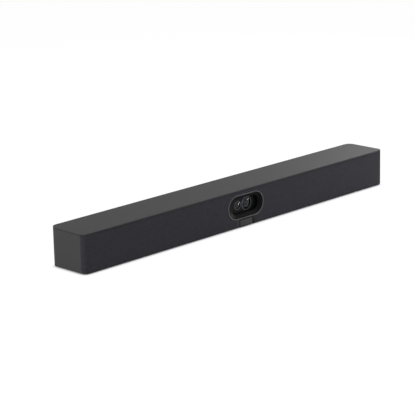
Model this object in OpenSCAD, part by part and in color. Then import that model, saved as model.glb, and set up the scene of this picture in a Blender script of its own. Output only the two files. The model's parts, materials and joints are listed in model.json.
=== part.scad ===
// Conference camera: a video bar with a camera window, two speakers and a fabric front.
// Millimetres. X runs along the bar, the front faces -Y, +Z is up, the floor is at Z = 0.

/* [Bar] */
// Overall width of the bar
bar_w = 600; // [590:5:660]
// Overall depth from the window trim to the rear panel
bar_d = 66; // [66:1:74]
// Overall height with the feet
bar_h = 54; // [54:0.5:60]
// Radius of the two front corners
front_corner_r = 7.5; // [6:0.5:9]
// Radius of the two rear corners
rear_corner_r = 10; // [8:0.5:12]

/* [Shell] */
// Wall of the end caps and the rear panel
side_wall = 2.5; // [2:0.1:3]
// Thickness of the top cover
cover_t = 1.8; // [1.4:0.1:2.2]
// Shadow gap under the edge of the top cover
seam = 0.4; // [0.2:0.1:0.6]
// Thickness of the bottom tray's floor
floor_t = 2; // [1.8:0.1:2.4]
// Thickness of the frame behind the fabric
frame_t = 2; // [1.6:0.1:2.2]
// Thickness of the fabric
fabric_t = 0.6; // [0.4:0.1:0.8]
// Height of the rubber feet below the tray
foot_h = 1; // [0.6:0.1:1.4]
// Length of one foot
foot_l = 60; // [40:2:80]
// Width of one foot
foot_w = 9; // [7:0.5:11]

/* [Camera window] */
// Width over the metal rim
trim_w = 71.2; // [69:0.2:73]
// Height over the metal rim
trim_h = 34.6; // [33.6:0.2:35]
// Thickness of the rim line
trim_line = 1.2; // [0.8:0.1:1.4]
// How far the rim stands in front of the fabric
trim_proud = 0.4; // [0.2:0.1:0.8]
// Height of the window's centre
window_z = 30; // [29.6:0.1:30.4]
// Width of the inner window
window_w = 54; // [50:0.5:55]
// Height of the inner window
window_h = 21.5; // [20:0.5:22]
// Depth of the funnel from the rim to the inner window
funnel_depth = 4.3; // [4.1:0.1:4.8]

/* [Lenses] */
// Sideways place of the wide lens
wide_x = 8.2; // [8:0.1:8.6]
// Diameter of the wide lens's front glass
wide_d = 17.7; // [16:0.1:17.8]
// Sideways place of the narrow lens
narrow_x = -9.5; // [-10:0.1:-9.4]
// Diameter of the narrow lens's front glass
narrow_d = 10.4; // [9:0.1:10.6]
// Height of both lens axes
lens_z = 30.5; // [30:0.1:31]

/* [Lens cap] */
// How far the closed blade reaches past the inner window on each side
blade_cover = 1; // [0.6:0.1:1.2]
// Thickness of the blade and of its rack
blade_t = 0.8; // [0.6:0.1:1]
// Tooth module of the rack and the pinion
gear_module = 0.5; // [0.49:0.005:0.51]
// Teeth on the pinion
pinion_teeth = 12; // [12:1:13]

/* [Speakers] */
// Distance from each end of the bar to the speaker enclosure
speaker_end = 49; // [47:0.5:60]
// Distance from the main board to the speaker enclosure
speaker_lead_l = 19; // [19:0.5:24]
// Side of the square flange of the driver
driver_flange = 43; // [42:0.5:44]
// Radius of the moving cone
cone_r = 14; // [13:0.1:14.2]
// Travel of the cone each way
cone_travel = 2; // [1:0.1:2.2]

/* [Ports] */
// Width of the rear port bay
bay_w = 156; // [156:1:164]
// Height of the rear port bay
bay_h = 22; // [21:0.5:24]
// Depth of the rear port bay
bay_depth = 10.5; // [10.5:0.5:12]
// Radius of the thread in the wall mount inserts
wall_mount_r = 2; // [1.5:0.1:2.2]
// Radius of the tripod thread, a quarter of an inch across
tripod_r = 3.175; // [3.1:0.025:3.3]

/* [Hidden] */
$fn = 96;

// Shared clearances and the overrun of every cut
fit_gap = 0.1;
thread_gap = 0.05;
run_gap = 0.2;
over = 1;

// Planes of the shell
half_w = bar_w / 2;
front_y = -bar_d / 2;
rear_y = bar_d / 2;
fabric_y = front_y + trim_proud;
frame_y = fabric_y + fabric_t;
frame_back_y = frame_y + frame_t;
panel_y = rear_y - side_wall;
skirt_lift = 0.2;
floor_top = foot_h + floor_t;
wall_z0 = foot_h + skirt_lift;
cover_z = bar_h - cover_t;
wall_z1 = cover_z - seam;
tray_inset = max(side_wall, fabric_t + frame_t) + fit_gap;
cap_y0 = fabric_y + front_corner_r;
cap_seam = 0.2;

// Places along the bar: the bay, the board beyond it and then the speaker enclosures
board_side = 34;
board_w = bay_w + 2 * board_side;
speaker_box_x0 = board_w / 2 + speaker_lead_l;
speaker_box_x1 = half_w - speaker_end;
speaker_x = (speaker_box_x0 + speaker_box_x1) / 2;

// Rib and bosses under the top cover
rib_h = 1.5;
rib_t = 1.5;
boss_h = 9;
post_z1 = cover_z - boss_h;
post_r = 3.8;
end_post_inset = 28;
post_rear_gap = 19;
mid_post_gap = 8;
end_post_y = rear_y - post_rear_gap;
case_posts = [[half_w - end_post_inset, end_post_y], [half_w - end_post_inset, -end_post_y],
    [speaker_box_x0 - mid_post_gap, -end_post_y]];

// Screws: radius of the thread, radius and height of the head, length
case_screw = [1.5, 2.4, 2, 12];
panel_screw = [1.25, 2.4, 1.2, 7];
board_screw = [1.25, 2.4, 1.4, 5];
small_screw = [1, 1.9, 1.2, 5];
driver_screw = [1, 1.9, 0.9, 6];
socket_share = 0.55;
screw_floor = 8;

// Feet
foot_seat = 0.6;
foot_end = 70;
foot_side = 14;
foot_x = half_w - foot_end;
foot_y = bar_d / 2 - foot_side;

// Ears of the tray that hold the rear panel
ear_w = 8;
ear_d = 7;
ear_h = 14;
ear_screw_z = 11;
ear_end_inset = 21;
ear_mid_inset = 12;
ear_at = [half_w - ear_end_inset, board_w / 2 - ear_mid_inset];

// Camera window
trim_back_y = frame_back_y;
bezel_nose_y = front_y + trim_proud + fit_gap;
bezel_lip = 0.6;
bezel_land = 0.6;
bezel_back_y = front_y + funnel_depth;
bezel_flange_side = 4.4;
bezel_flange_rise = 1.5;
bezel_flange_w = trim_w + 2 * bezel_flange_side;
bezel_flange_h = trim_h + 2 * bezel_flange_rise;
bezel_flange_r = 12;
window_drop = 0.4;
inner_z = window_z + window_drop;

// Name plate under the window
plate_w = 26;
plate_gap = 0.9;
plate_z1 = window_z - trim_h / 2 - plate_gap;
plate_seat = 1;
plate_proud = 0.2;
plate_edge = 0.8;
plate_inlay_depth = 0.2;

// Lens cap, its track and its drive
track_sheet = 1;
track_back_t = 0.8;
track_side = 6;
track_end = 2.5;
track_z0 = 13;
track_top_gap = 0.3;
track_z1 = cover_z - rib_h - track_top_gap;
track_window_gap = 1;
blade_gap = 0.2;
pocket_side = 4;
pocket_rise = 3.05;
pocket_w = window_w + 2 * pocket_side;
pocket_h = window_h + 2 * pocket_rise;
slot_y0 = bezel_back_y + track_sheet;
blade_y0 = slot_y0 + blade_gap;
blade_y1 = blade_y0 + blade_t;
slot_y1 = blade_y1 + blade_gap;
track_back_y = slot_y1 + track_back_t;
blade_clear = 1.4;
blade_w = window_w + 2 * blade_cover;
blade_h = window_h + 2 * blade_cover;
blade_x0 = window_w / 2 + blade_clear;
blade_z0 = inner_z - blade_h / 2;
blade_z1 = inner_z + blade_h / 2;
blade_r = 2;
edge_gap = 0.15;
pressure_angle = 20;
addendum = 0.7 * gear_module;
dedendum = 1 * gear_module;
gear_backlash = 0.06;
rack_pitch = PI * gear_module;
pinion_r = gear_module * pinion_teeth / 2;
cap_margin = 0.55;
cap_travel = blade_w + cap_margin;
rack_rise = 1.35;
rack_z = blade_z1 + rack_rise;
rack_arm_h = 2.6;
pinion_side = 2;
pinion_x = pocket_w / 2 + pinion_side;
pinion_z = rack_z + pinion_r;
rack_first = ceil((blade_x0 - pinion_x) / rack_pitch + gear_module);
rack_last = ceil(cap_travel / rack_pitch) + 2;
rack_x1 = pinion_x + (rack_last + 0.5) * rack_pitch;
track_x0 = -pocket_w / 2 - track_side;
track_x1 = rack_x1 + track_end;
slot_z1 = rack_z + addendum + edge_gap;
slot_x0 = blade_x0 - cap_travel - fit_gap;
motor_r = 3;
motor_l = 15;
motor_boss_r = 1.6;
motor_bore_depth = 3;
shaft_r = 0.5;
shaft_gap = 0.04;
shaft_end_gap = 0.1;
involute_steps = 6;

// Camera pocket and lens barrels
pocket_depth = 0.7;
pocket_plate_t = 1.2;
pocket_r = 8;
pocket_plate_y = track_back_y + pocket_depth;
pocket_back_y = pocket_plate_y + pocket_plate_t;
barrel_wall = 1.2;
barrel_front = 0.4;
barrel_flange = 0.6;
barrel_flange_t = 1;
barrel_neck = 0.4;
barrel_hole_gap = 0.1;
back_focus = 11.8;
glass_gap = 0.05;
glass_edge = 1.8;
glass_seat_drop = 0.7;
glass_lip = 1.4;
wide_apex = 0.4;
narrow_apex = 0.8;
sensor_board_y = pocket_back_y + back_focus;
sensor_board_t = 1.2;
sensor_board_gap = 3;
sensor_board_w = 2 * (pinion_x - motor_r - sensor_board_gap);
sensor_board_z0 = 16;
sensor_board_z1 = 45;
sensor_t = 0.8;
sensor_w = [9, 6];
sensor_h = [6.5, 4.5];

// Camera bracket
bracket_t = 1.2;
bracket_back_y = pocket_back_y + bracket_t;
bracket_x0 = track_x0;
bracket_side = 16;
bracket_x1 = pinion_x + bracket_side;
bracket_z0 = 12.5;
bracket_leg_w = 10;
bracket_leg_x = 32;
bracket_foot_d = 11;
bracket_pad_h = 2;
bracket_pad = 9;
bracket_screw_y = 6.5;
bracket_gap = 1;
bracket_boss_r = 2.2;
track_screw_side = 11;
track_screw_inset = 3;
track_screw_x = [track_x0 + track_screw_inset, pinion_x + track_screw_side];
board_post_inset = 3;
board_post_x = sensor_board_w / 2 - board_post_inset;
board_post_z = [19, 42];
spreader_w = 36;
spreader_z0 = 20;
spreader_z1 = 41;
spreader_base = 1;
spreader_fin = 2.6;
spreader_fin_t = 1;
spreader_fins = 7;
flex_x0 = 13;
flex_w = 9;
flex_t = 0.2;
flex_z1 = 19;
flex_plug = 3;
flex_plug_h = 1.2;

// Speaker enclosure and driver
cone_front_gap = 0.5;
baffle_drop = cone_travel + cone_front_gap;
baffle_y = frame_back_y + baffle_drop;
box_wall = 2;
box_back_gap = 3;
box_back_y = panel_y - box_back_gap;
box_top_gap = 0.5;
box_z1 = cover_z - rib_h - box_top_gap;
driver_z = (floor_top + box_z1) / 2;
driver_corner_r = 6;
driver_hole_r = 18.8;
driver_screw_at = 17.6;
driver_boss_r = 2.6;
driver_boss_l = 5;
flange_t = 1.2;
basket_r = 18.4;
basket_wall = 1;
basket_mouth_r = basket_r - basket_wall;
ledge_y = 1;
ledge_t = 1;
ledge_r = 16.2;
basket_skirt = 3.5;
basket_depth = 14.5;
basket_end_r = 12;
basket_ring_t = 1;
basket_ring_r = 7;
basket_window = 5;
basket_windows = 6;
surround_t = 0.4;
surround_gap = 0.2;
surround_lip = 0.7;
surround_r1 = 17.3;
roll_r0 = cone_r + surround_gap;
roll_r1 = surround_r1 - surround_lip;
cone_t = 0.5;
cone_depth = 7;
coil_r = 5.2;
coil_t = 0.4;
coil_l = 9;
dust_cap_rise = 2.2;
magnet_r = 13;
magnet_l = 10;
magnet_gap = 0.3;
coil_clear = 2.5;
magnet_slot = ledge_y + cone_depth + coil_l - basket_depth + cone_travel + coil_clear;

// Grille slots over the speakers and sound holes over the microphones
slot_w = 2.4;
slot_pitch = 5.2;
slots_side = 8;
slot_margin = 8;
mic_gap = 6;
mic_x0 = bezel_flange_w / 2 + mic_gap;
mic_board_w = 72;
mic_board_z0 = 5;
mic_board_h = 7;
mic_board_t = 1;
mic_pitch = 24;
mic_size = [3.8, 1, 2.9];
mic_hole_r = 0.8;
mics_side = 3;

// Main board
board_t = 1.6;
standoff_h = 4;
standoff_r = 2.8;
board_z0 = floor_top + standoff_h;
board_z1 = board_z0 + board_t;
board_d = 24.8;
board_gap = 0.2;
plate_t = 1.5;
bay_y = rear_y - bay_depth;
plate_y = bay_y - plate_t;
board_y1 = plate_y - board_gap;
board_y0 = board_y1 - board_d;
board_screw_inset = 4;
board_mid_x = 32;
chip_place_shares = [[-0.2, 0.26], [-0.03, 0.3], [0.21, 0.28], [0.38, 0.3], [0.38, 0.76]];
chip_sizes = [[12, 7, 1.2], [12, 12, 1.2], [9, 7, 1], [10, 10, 4], [10, 8, 2]];
lead_plug = [7, 8, 5];
lead_r = 0.7;
lead_pitch = 3;
lead_z = 2.6;
shield_end = 11;
shield_w = 26;
shield_d = 17;
shield_h = 2.4;
shield_inset = 2.5;
shield_x = -board_w / 2 + shield_end + shield_w / 2;
shield_y = (board_y0 + board_y1) / 2 - shield_inset;
shield_wall = 0.4;
sink_base = 2;
sink_fin_h = 16;
sink_fin_t = 1.2;
sink_fins = 7;

// Rear bay, vents and lock slot
bay_wall = 1.6;
bay_drop = 0.6;
bay_z0 = board_z1 - bay_drop;
vent_w = 2.6;
vent_h = 10;
vent_pitch = 6.4;
vents = 29;
vent_gap = 5;
vent_z = bay_z0 + bay_h + bay_wall + vent_gap + vent_h / 2;
lock_w = 7;
lock_h = 3;
lock_r = 1;
lock_inset = 20;
lock_z = 20;
lock_x = board_w / 2 - lock_inset;
insert_wall = 1;
insert_boss = 1.5;
insert_l = 7;
insert_floor = 1.2;
insert_z = 27;
wall_mount_gap = 11;
wall_mount_x = speaker_box_x0 - wall_mount_gap;
tripod_l = 7;
tripod_wall = 1.8;
tripod_boss = 2;
tripod_gap = 9;
tripod_y = board_y0 - tripod_gap;

// Jacks: width, height and depth of each
network = [16, 13.4, 21];
network_port = [11.9, 8, 13];
network_latch = [6.4, 2.6];
network_rise = 1.2;
usb = [13.2, 5.8, 14];
usb_wall = 0.4;
usb_tongue = [11, 1.8, 1.6];
usb_c = [9, 3.3, 7.5];
usb_c_tongue = [6.6, 0.7, 1.2];
hdmi = [15, 6, 12];
hdmi_wall = 0.5;
hdmi_chamfer = 2;
hdmi_tongue = [11.4, 1.2, 1.4];
audio = [6.6, 6, 13];
audio_r = 1.8;
audio_depth = 11;
power = [9.4, 11, 14];
power_r = 3.15;
power_pin_r = 1;
power_depth = 9.5;
power_z = board_z1 + power[1] / 2;
port_gap = 0.2;

// Places of the jacks and the reset button, as shares of the bay's width
network_share = -0.4;
usb_shares = [-0.26, -0.15];
usb_c_share = -0.05;
hdmi_shares = [0.06, 0.19];
audio_share = 0.29;
reset_share = 0.36;
power_share = 0.43;
network_x = network_share * bay_w;
usb_x = usb_shares * bay_w;
usb_c_x = usb_c_share * bay_w;
hdmi_x = hdmi_shares * bay_w;
audio_x = audio_share * bay_w;
reset_x = reset_share * bay_w;
power_x = power_share * bay_w;

// Reset button and its switch
reset_rise = 3;
reset_r = 1.6;
reset_travel = 0.8;
reset_collar_r = 2.3;
reset_collar_t = 0.8;
reset_proud = 0.5;
reset_stem_r = 1;
reset_stem_l = 2;
reset_body = [6, 5, 6];
reset_bore_gap = 0.1;

// Antennas inside the end caps
antenna_t = 0.8;
antenna_w = 26;
antenna_h = 14;
antenna_z = 22;

// Colours, as the photograph shows the outside
c_fabric = [0.20, 0.20, 0.22];
c_shell = [0.30, 0.30, 0.30];
c_rim = [0.62, 0.62, 0.60];
c_dark = [0.10, 0.10, 0.11];
c_black = [0.05, 0.05, 0.06];
c_glass = [0.16, 0.17, 0.24];
c_steel = [0.66, 0.67, 0.69];
c_brass = [0.75, 0.62, 0.32];
c_board = [0.10, 0.30, 0.18];
c_flex = [0.80, 0.55, 0.20];
c_paper = [0.28, 0.28, 0.30];

// Extrudes a shape drawn as X and Z between two planes along Y
module along_y(y0, y1) translate([0, y1, 0]) rotate([90, 0, 0]) linear_extrude(y1 - y0) children();

// Shape with two round ends, drawn about its centre
module stadium(w, h) {
    square([w - h, h], center = true);
    for (side = [-1, 1]) translate([side * (w - h) / 2, 0]) circle(d = h);
}

// Rectangle with round corners, drawn about its centre
module rounded(w, h, r) {
    square([w - 2 * r, h], center = true);
    square([w, h - 2 * r], center = true);
    for (sx = [-1, 1], sz = [-1, 1]) translate([sx * (w / 2 - r), sz * (h / 2 - r)]) circle(r);
}

// Footprint of the bar from the fabric to the rear panel, drawn in by a distance
module footprint(inset) {
    hw = half_w - inset;
    y0 = fabric_y + inset;
    y1 = rear_y - inset;
    rf = front_corner_r - inset;
    rr = rear_corner_r - inset;
    translate([-hw, y0 + rf]) square([2 * hw, y1 - y0 - rf - rr]);
    translate([-hw + rf, y0]) square([2 * (hw - rf), y1 - y0 - rr]);
    translate([-hw + rr, y0 + rf]) square([2 * (hw - rr), y1 - y0 - rf]);
    for (side = [-1, 1]) {
        translate([side * (hw - rf), y0 + rf]) circle(rf);
        translate([side * (hw - rr), y1 - rr]) circle(rr);
    }
}

// Wall that follows the footprint between two insets
module wall_ring(inset, depth) {
    difference() {
        footprint(inset);
        footprint(inset + depth);
    }
}

// Everything in front of the seam where the fabric ends
module front_half() translate([-bar_w, -bar_d]) square([2 * bar_w, bar_d + cap_y0]);

module box_between(a, b) translate(a) cube(b - a);

// Screw along -Z with its head's seat at the origin and a hexagonal socket
module screw(s, length) {
    difference() {
        union() {
            cylinder(r = s[1], h = s[2]);
            translate([0, 0, -length]) cylinder(r = s[0] - thread_gap, h = length + s[2] / 2);
        }
        translate([0, 0, s[2] / 2]) cylinder(r = s[0] * 2 * socket_share, h = s[2], $fn = 6);
    }
}

module screw_to_rear(s, length) rotate([-90, 0, 0]) screw(s, length);
module screw_to_front(s, length) rotate([90, 0, 0]) screw(s, length);

// Places its children at each post that carries the top cover
module at_case_posts() for (side = [-1, 1], p = case_posts) translate([side * p[0], p[1], 0]) children();

module bottom_tray() color(c_shell) difference() {
    union() {
        translate([0, 0, foot_h]) linear_extrude(floor_t) footprint(tray_inset);
        at_case_posts() translate([0, 0, foot_h]) cylinder(r = post_r, h = post_z1 - foot_h);
        at_board_screws() translate([0, 0, foot_h]) cylinder(r = standoff_r, h = board_z0 - foot_h);
        at_ears() box_between([-ear_w / 2, panel_y - ear_d - fit_gap, foot_h],
            [ear_w / 2, panel_y - fit_gap, floor_top + ear_h]);
        at_bracket_feet() translate([0, 0, foot_h]) linear_extrude(floor_t + bracket_pad_h)
            square(bracket_pad, center = true);
        translate([0, tripod_y, foot_h])
            cylinder(r = tripod_r + tripod_wall + tripod_boss, h = tripod_l + insert_floor);
    }
    at_feet() translate([0, 0, foot_h - over]) linear_extrude(foot_seat + over)
        stadium(foot_l + 2 * fit_gap, foot_w + 2 * fit_gap);
    at_case_posts() {
        translate([0, 0, foot_h - over])
            cylinder(r = case_screw[1] + run_gap, h = post_z1 - screw_floor - foot_h + over);
        translate([0, 0, foot_h]) cylinder(r = case_screw[0] + fit_gap, h = post_z1);
    }
    at_board_screws() translate([0, 0, floor_top]) cylinder(r = board_screw[0], h = standoff_h + over);
    at_bracket_feet() translate([0, 0, foot_h + over])
        cylinder(r = small_screw[0], h = floor_t + bracket_pad_h);
    at_ears() along_y(panel_y - ear_d, panel_y + over) translate([0, ear_screw_z]) circle(panel_screw[0]);
    translate([0, tripod_y, foot_h - over])
        cylinder(r = tripod_r + tripod_wall + thread_gap, h = tripod_l + over);
}

module top_cover() color(c_shell) difference() {
    union() {
        translate([0, 0, cover_z]) linear_extrude(cover_t) footprint(0);
        translate([0, 0, cover_z - rib_h]) linear_extrude(rib_h + cover_t / 2)
            wall_ring(tray_inset, rib_t);
        at_case_posts() translate([0, 0, post_z1]) cylinder(r = post_r, h = boss_h + cover_t / 2);
    }
    at_case_posts() translate([0, 0, post_z1 - over]) cylinder(r = case_screw[0], h = boss_h);
}

// End wall with its rounded rear corner, drawn on the right
module end_cap() translate([0, 0, wall_z0]) linear_extrude(wall_z1 - wall_z0) intersection() {
    wall_ring(0, side_wall);
    translate([half_w - rear_corner_r, cap_y0 + cap_seam]) square([rear_corner_r + over, bar_d]);
}
module left_end_cap() color(c_shell) mirror([1, 0, 0]) end_cap();
module right_end_cap() color(c_shell) end_cap();

module rear_panel() color(c_shell) difference() {
    union() {
        box_between([-(half_w - rear_corner_r - cap_seam), panel_y, wall_z0],
            [half_w - rear_corner_r - cap_seam, rear_y, wall_z1]);
        box_between([-bay_w / 2 - bay_wall, bay_y, bay_z0 - bay_wall],
            [bay_w / 2 + bay_wall, rear_y, bay_z0 + bay_h + bay_wall]);
        at_wall_mounts() along_y(rear_y - insert_l - insert_floor, rear_y)
            circle(wall_mount_r + insert_wall + insert_boss);
    }
    box_between([-bay_w / 2, bay_y - over, bay_z0], [bay_w / 2, rear_y + over, bay_z0 + bay_h]);
    at_wall_mounts() along_y(rear_y - insert_l, rear_y + over)
        circle(wall_mount_r + insert_wall + thread_gap);
    for (k = [0 : vents - 1]) along_y(panel_y - over, rear_y + over)
        translate([(k - (vents - 1) / 2) * vent_pitch, vent_z]) rotate(90) stadium(vent_h, vent_w);
    along_y(panel_y - over, rear_y + over) translate([lock_x, lock_z]) rounded(lock_w, lock_h, lock_r);
    at_ears() {
        along_y(panel_y - over, rear_y + over) translate([0, ear_screw_z]) circle(panel_screw[0] + fit_gap);
        along_y(rear_y - panel_screw[2], rear_y + over) translate([0, ear_screw_z])
            circle(panel_screw[1] + fit_gap);
    }
}

// Outline of the window trim, grown by a clearance
module trim_outline(grow) translate([0, window_z]) stadium(trim_w + 2 * grow, trim_h + 2 * grow);

module name_plate_outline(grow) translate([-plate_w / 2 - grow, wall_z0 - grow])
    square([plate_w + 2 * grow, plate_z1 - wall_z0 + 2 * grow]);

module grille_frame() color(c_dark) difference() {
    translate([0, 0, wall_z0]) linear_extrude(wall_z1 - wall_z0) intersection() {
        wall_ring(fabric_t, frame_t);
        front_half();
    }
    along_y(frame_y - over, frame_back_y + over) trim_outline(fit_gap);
    along_y(frame_y - over, frame_y + plate_seat) name_plate_outline(fit_gap);
    for (side = [-1, 1], k = [-slots_side : slots_side])
        along_y(frame_y - over, frame_back_y + over)
            translate([side * speaker_x + k * slot_pitch, (wall_z0 + wall_z1) / 2])
                rotate(90) stadium(wall_z1 - wall_z0 - 2 * slot_margin, slot_w);
    along_y(frame_y - over, frame_back_y + over) at_microphones() circle(mic_hole_r);
}

module grille_fabric() color(c_fabric) difference() {
    translate([0, 0, wall_z0]) linear_extrude(wall_z1 - wall_z0) intersection() {
        wall_ring(0, fabric_t);
        front_half();
    }
    along_y(fabric_y - over, frame_y + over) trim_outline(fit_gap);
    along_y(fabric_y - over, frame_y + over) name_plate_outline(fit_gap);
}

module at_feet() for (sx = [-1, 1], sy = [-1, 1]) translate([sx * foot_x, sy * foot_y, 0]) children();

module rubber_feet() color(c_black) at_feet() linear_extrude(foot_h + foot_seat) stadium(foot_l, foot_w);

module name_plate() color(c_black) difference() {
    along_y(fabric_y - plate_proud, frame_y + plate_seat) name_plate_outline(0);
    along_y(fabric_y - plate_proud - over, fabric_y - plate_proud + plate_inlay_depth)
        name_plate_outline(-plate_edge);
}

module window_trim() color(c_rim) along_y(front_y, trim_back_y) difference() {
    trim_outline(0);
    trim_outline(-trim_line);
}

module inner_window(grow) translate([0, inner_z]) stadium(window_w + 2 * grow, window_h + 2 * grow);

module camera_bezel() color(c_dark) difference() {
    union() {
        along_y(bezel_nose_y, bezel_back_y) trim_outline(-trim_line - fit_gap);
        along_y(trim_back_y, bezel_back_y) translate([0, window_z])
            rounded(bezel_flange_w, bezel_flange_h, bezel_flange_r);
    }
    hull() {
        along_y(bezel_nose_y - over, bezel_nose_y) trim_outline(-trim_line - fit_gap - bezel_lip);
        along_y(bezel_back_y - bezel_land, bezel_back_y - bezel_land + fit_gap) inner_window(0);
    }
    along_y(bezel_back_y - bezel_land - over, bezel_back_y + over) inner_window(0);
}

module lens_cap_track() color(c_black) difference() {
    box_between([track_x0, bezel_back_y, track_z0], [track_x1, track_back_y, track_z1]);
    along_y(bezel_back_y - over, slot_y1) inner_window(0);
    along_y(slot_y0, track_back_y + over) inner_window(track_window_gap / 2);
    box_between([slot_x0, slot_y0, blade_z0 - edge_gap], [track_x1 + over, slot_y1, slot_z1]);
    along_y(slot_y0, slot_y1) translate([pinion_x, pinion_z]) circle(pinion_r + addendum + edge_gap * 2);
    along_y(slot_y0, track_back_y + over) translate([pinion_x, pinion_z]) circle(shaft_r + run_gap);
    along_y(bezel_back_y + track_sheet / 2, track_back_y + over) at_track_screws() circle(small_screw[0]);
}

// One rack tooth about its own centre line, with the pitch line at zero
module rack_tooth() {
    half = (rack_pitch / 2 - gear_backlash) / 2;
    slope = tan(pressure_angle);
    polygon([[-half - dedendum * slope, -dedendum], [half + dedendum * slope, -dedendum],
        [half - addendum * slope, addendum], [-half + addendum * slope, addendum]]);
}

module lens_cap() color(c_dark) along_y(blade_y0, blade_y1) {
    translate([blade_x0 + blade_w / 2, inner_z]) rounded(blade_w, blade_h, blade_r);
    translate([blade_x0, rack_z - dedendum - rack_arm_h]) square([rack_x1 - blade_x0, rack_arm_h]);
    for (k = [rack_first : rack_last])
        translate([pinion_x + k * rack_pitch, rack_z]) rack_tooth();
}

// Outline of one pinion tooth, from the root up one flank and down the other
function flank_angle(t) = t * 180 / PI - atan(t);
function polar(r, a) = [r * cos(a), r * sin(a)];
module pinion_outline() {
    base_r = pinion_r * cos(pressure_angle);
    tip_r = pinion_r + addendum;
    root_r = pinion_r - dedendum;
    half = (rack_pitch / 2 - gear_backlash) / pinion_r * 90 / PI
        + flank_angle(tan(pressure_angle));
    t_tip = sqrt(pow(tip_r / base_r, 2) - 1);
    steps = [for (k = [0 : involute_steps]) t_tip * k / involute_steps];
    polygon([for (tooth = [0 : pinion_teeth - 1])
        let (a = (tooth + 0.5) * 360 / pinion_teeth - 90)
        each concat([polar(root_r, a - half)],
            [for (t = steps) polar(base_r * sqrt(1 + t * t), a - half + flank_angle(t))],
            [for (k = [involute_steps : -1 : 0])
                polar(base_r * sqrt(1 + steps[k] * steps[k]), a + half - flank_angle(steps[k]))],
            [polar(root_r, a + half)])]);
}

module lens_cap_pinion() color(c_brass) along_y(blade_y0, blade_y1) translate([pinion_x, pinion_z])
    difference() {
        pinion_outline();
        circle(shaft_r);
    }

module lens_cap_motor_shaft() color(c_steel)
    along_y(blade_y0 + shaft_end_gap, track_back_y + motor_bore_depth - shaft_end_gap)
        translate([pinion_x, pinion_z]) circle(shaft_r - shaft_gap / 2);

module lens_cap_motor() color(c_steel) translate([pinion_x, track_back_y, pinion_z]) rotate([-90, 0, 0])
    difference() {
        union() {
            cylinder(r = motor_r, h = motor_l);
            cylinder(r = motor_boss_r, h = motor_l + motor_boss_r / 2);
        }
        translate([0, 0, -over]) cylinder(r = shaft_r + shaft_gap, h = motor_bore_depth + over);
    }

module at_wide_lens() translate([wide_x, lens_z]) children();
module at_narrow_lens() translate([narrow_x, lens_z]) children();

module camera_pocket() color(c_black) difference() {
    along_y(track_back_y, pocket_back_y) translate([0, inner_z]) rounded(pocket_w, pocket_h, pocket_r);
    along_y(track_back_y - over, pocket_plate_y) inner_window(track_window_gap / 2);
    along_y(track_back_y, pocket_back_y + over) {
        at_wide_lens() circle(wide_d / 2 + barrel_wall + barrel_hole_gap);
        at_narrow_lens() circle(narrow_d / 2 + barrel_wall + barrel_hole_gap);
    }
}

// Ring about a lens axis between two planes
module barrel_ring(x, r_out, r_in, y0, y1) along_y(y0, y1) translate([x, lens_z]) difference() {
    circle(r_out);
    circle(r_in);
}

// Barrel of a lens: front ring, flange behind the pocket plate and a tube back to the sensor board
module lens_barrel(x, glass_d) {
    r = glass_d / 2 + barrel_wall;
    seat_y = pocket_plate_y + glass_seat_drop + glass_edge;
    glass_r = glass_d / 2 + glass_gap;
    tube_r = glass_d / 2 - glass_lip;
    barrel_ring(x, r, glass_r, pocket_plate_y - barrel_front, seat_y);
    barrel_ring(x, r + barrel_flange, glass_r, pocket_back_y, pocket_back_y + barrel_flange_t);
    barrel_ring(x, r - barrel_neck, tube_r, seat_y, sensor_board_y);
}
module wide_lens_barrel() color(c_black) lens_barrel(wide_x, wide_d);
module narrow_lens_barrel() color(c_black) lens_barrel(narrow_x, narrow_d);

// Front glass with a domed face whose apex lies a little behind the lens cap
module lens_glass(x, glass_d, apex_gap) {
    glass_r = glass_d / 2;
    rim_y = pocket_plate_y + glass_seat_drop;
    rise = rim_y - blade_y1 - apex_gap;
    dome_r = (glass_r * glass_r + rise * rise) / (2 * rise);
    translate([x, rim_y, lens_z]) rotate([-90, 0, 0]) rotate_extrude() {
        square([glass_r, glass_edge]);
        intersection() {
            translate([0, dome_r - rise]) circle(dome_r);
            translate([0, -rise - over]) square([glass_r, rise + over]);
        }
    }
}
module wide_lens_glass() color(c_glass) lens_glass(wide_x, wide_d, wide_apex);
module narrow_lens_glass() color(c_glass) lens_glass(narrow_x, narrow_d, narrow_apex);

module at_track_screws() for (x = track_screw_x,
    z = [track_z0 + track_screw_inset, track_z1 - track_screw_inset]) translate([x, z]) children();
module at_board_posts() for (side = [-1, 1], z = board_post_z) translate([side * board_post_x, z]) children();
module at_bracket_feet() for (side = [-1, 1])
    translate([side * bracket_leg_x, pocket_back_y + bracket_screw_y, 0]) children();

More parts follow.
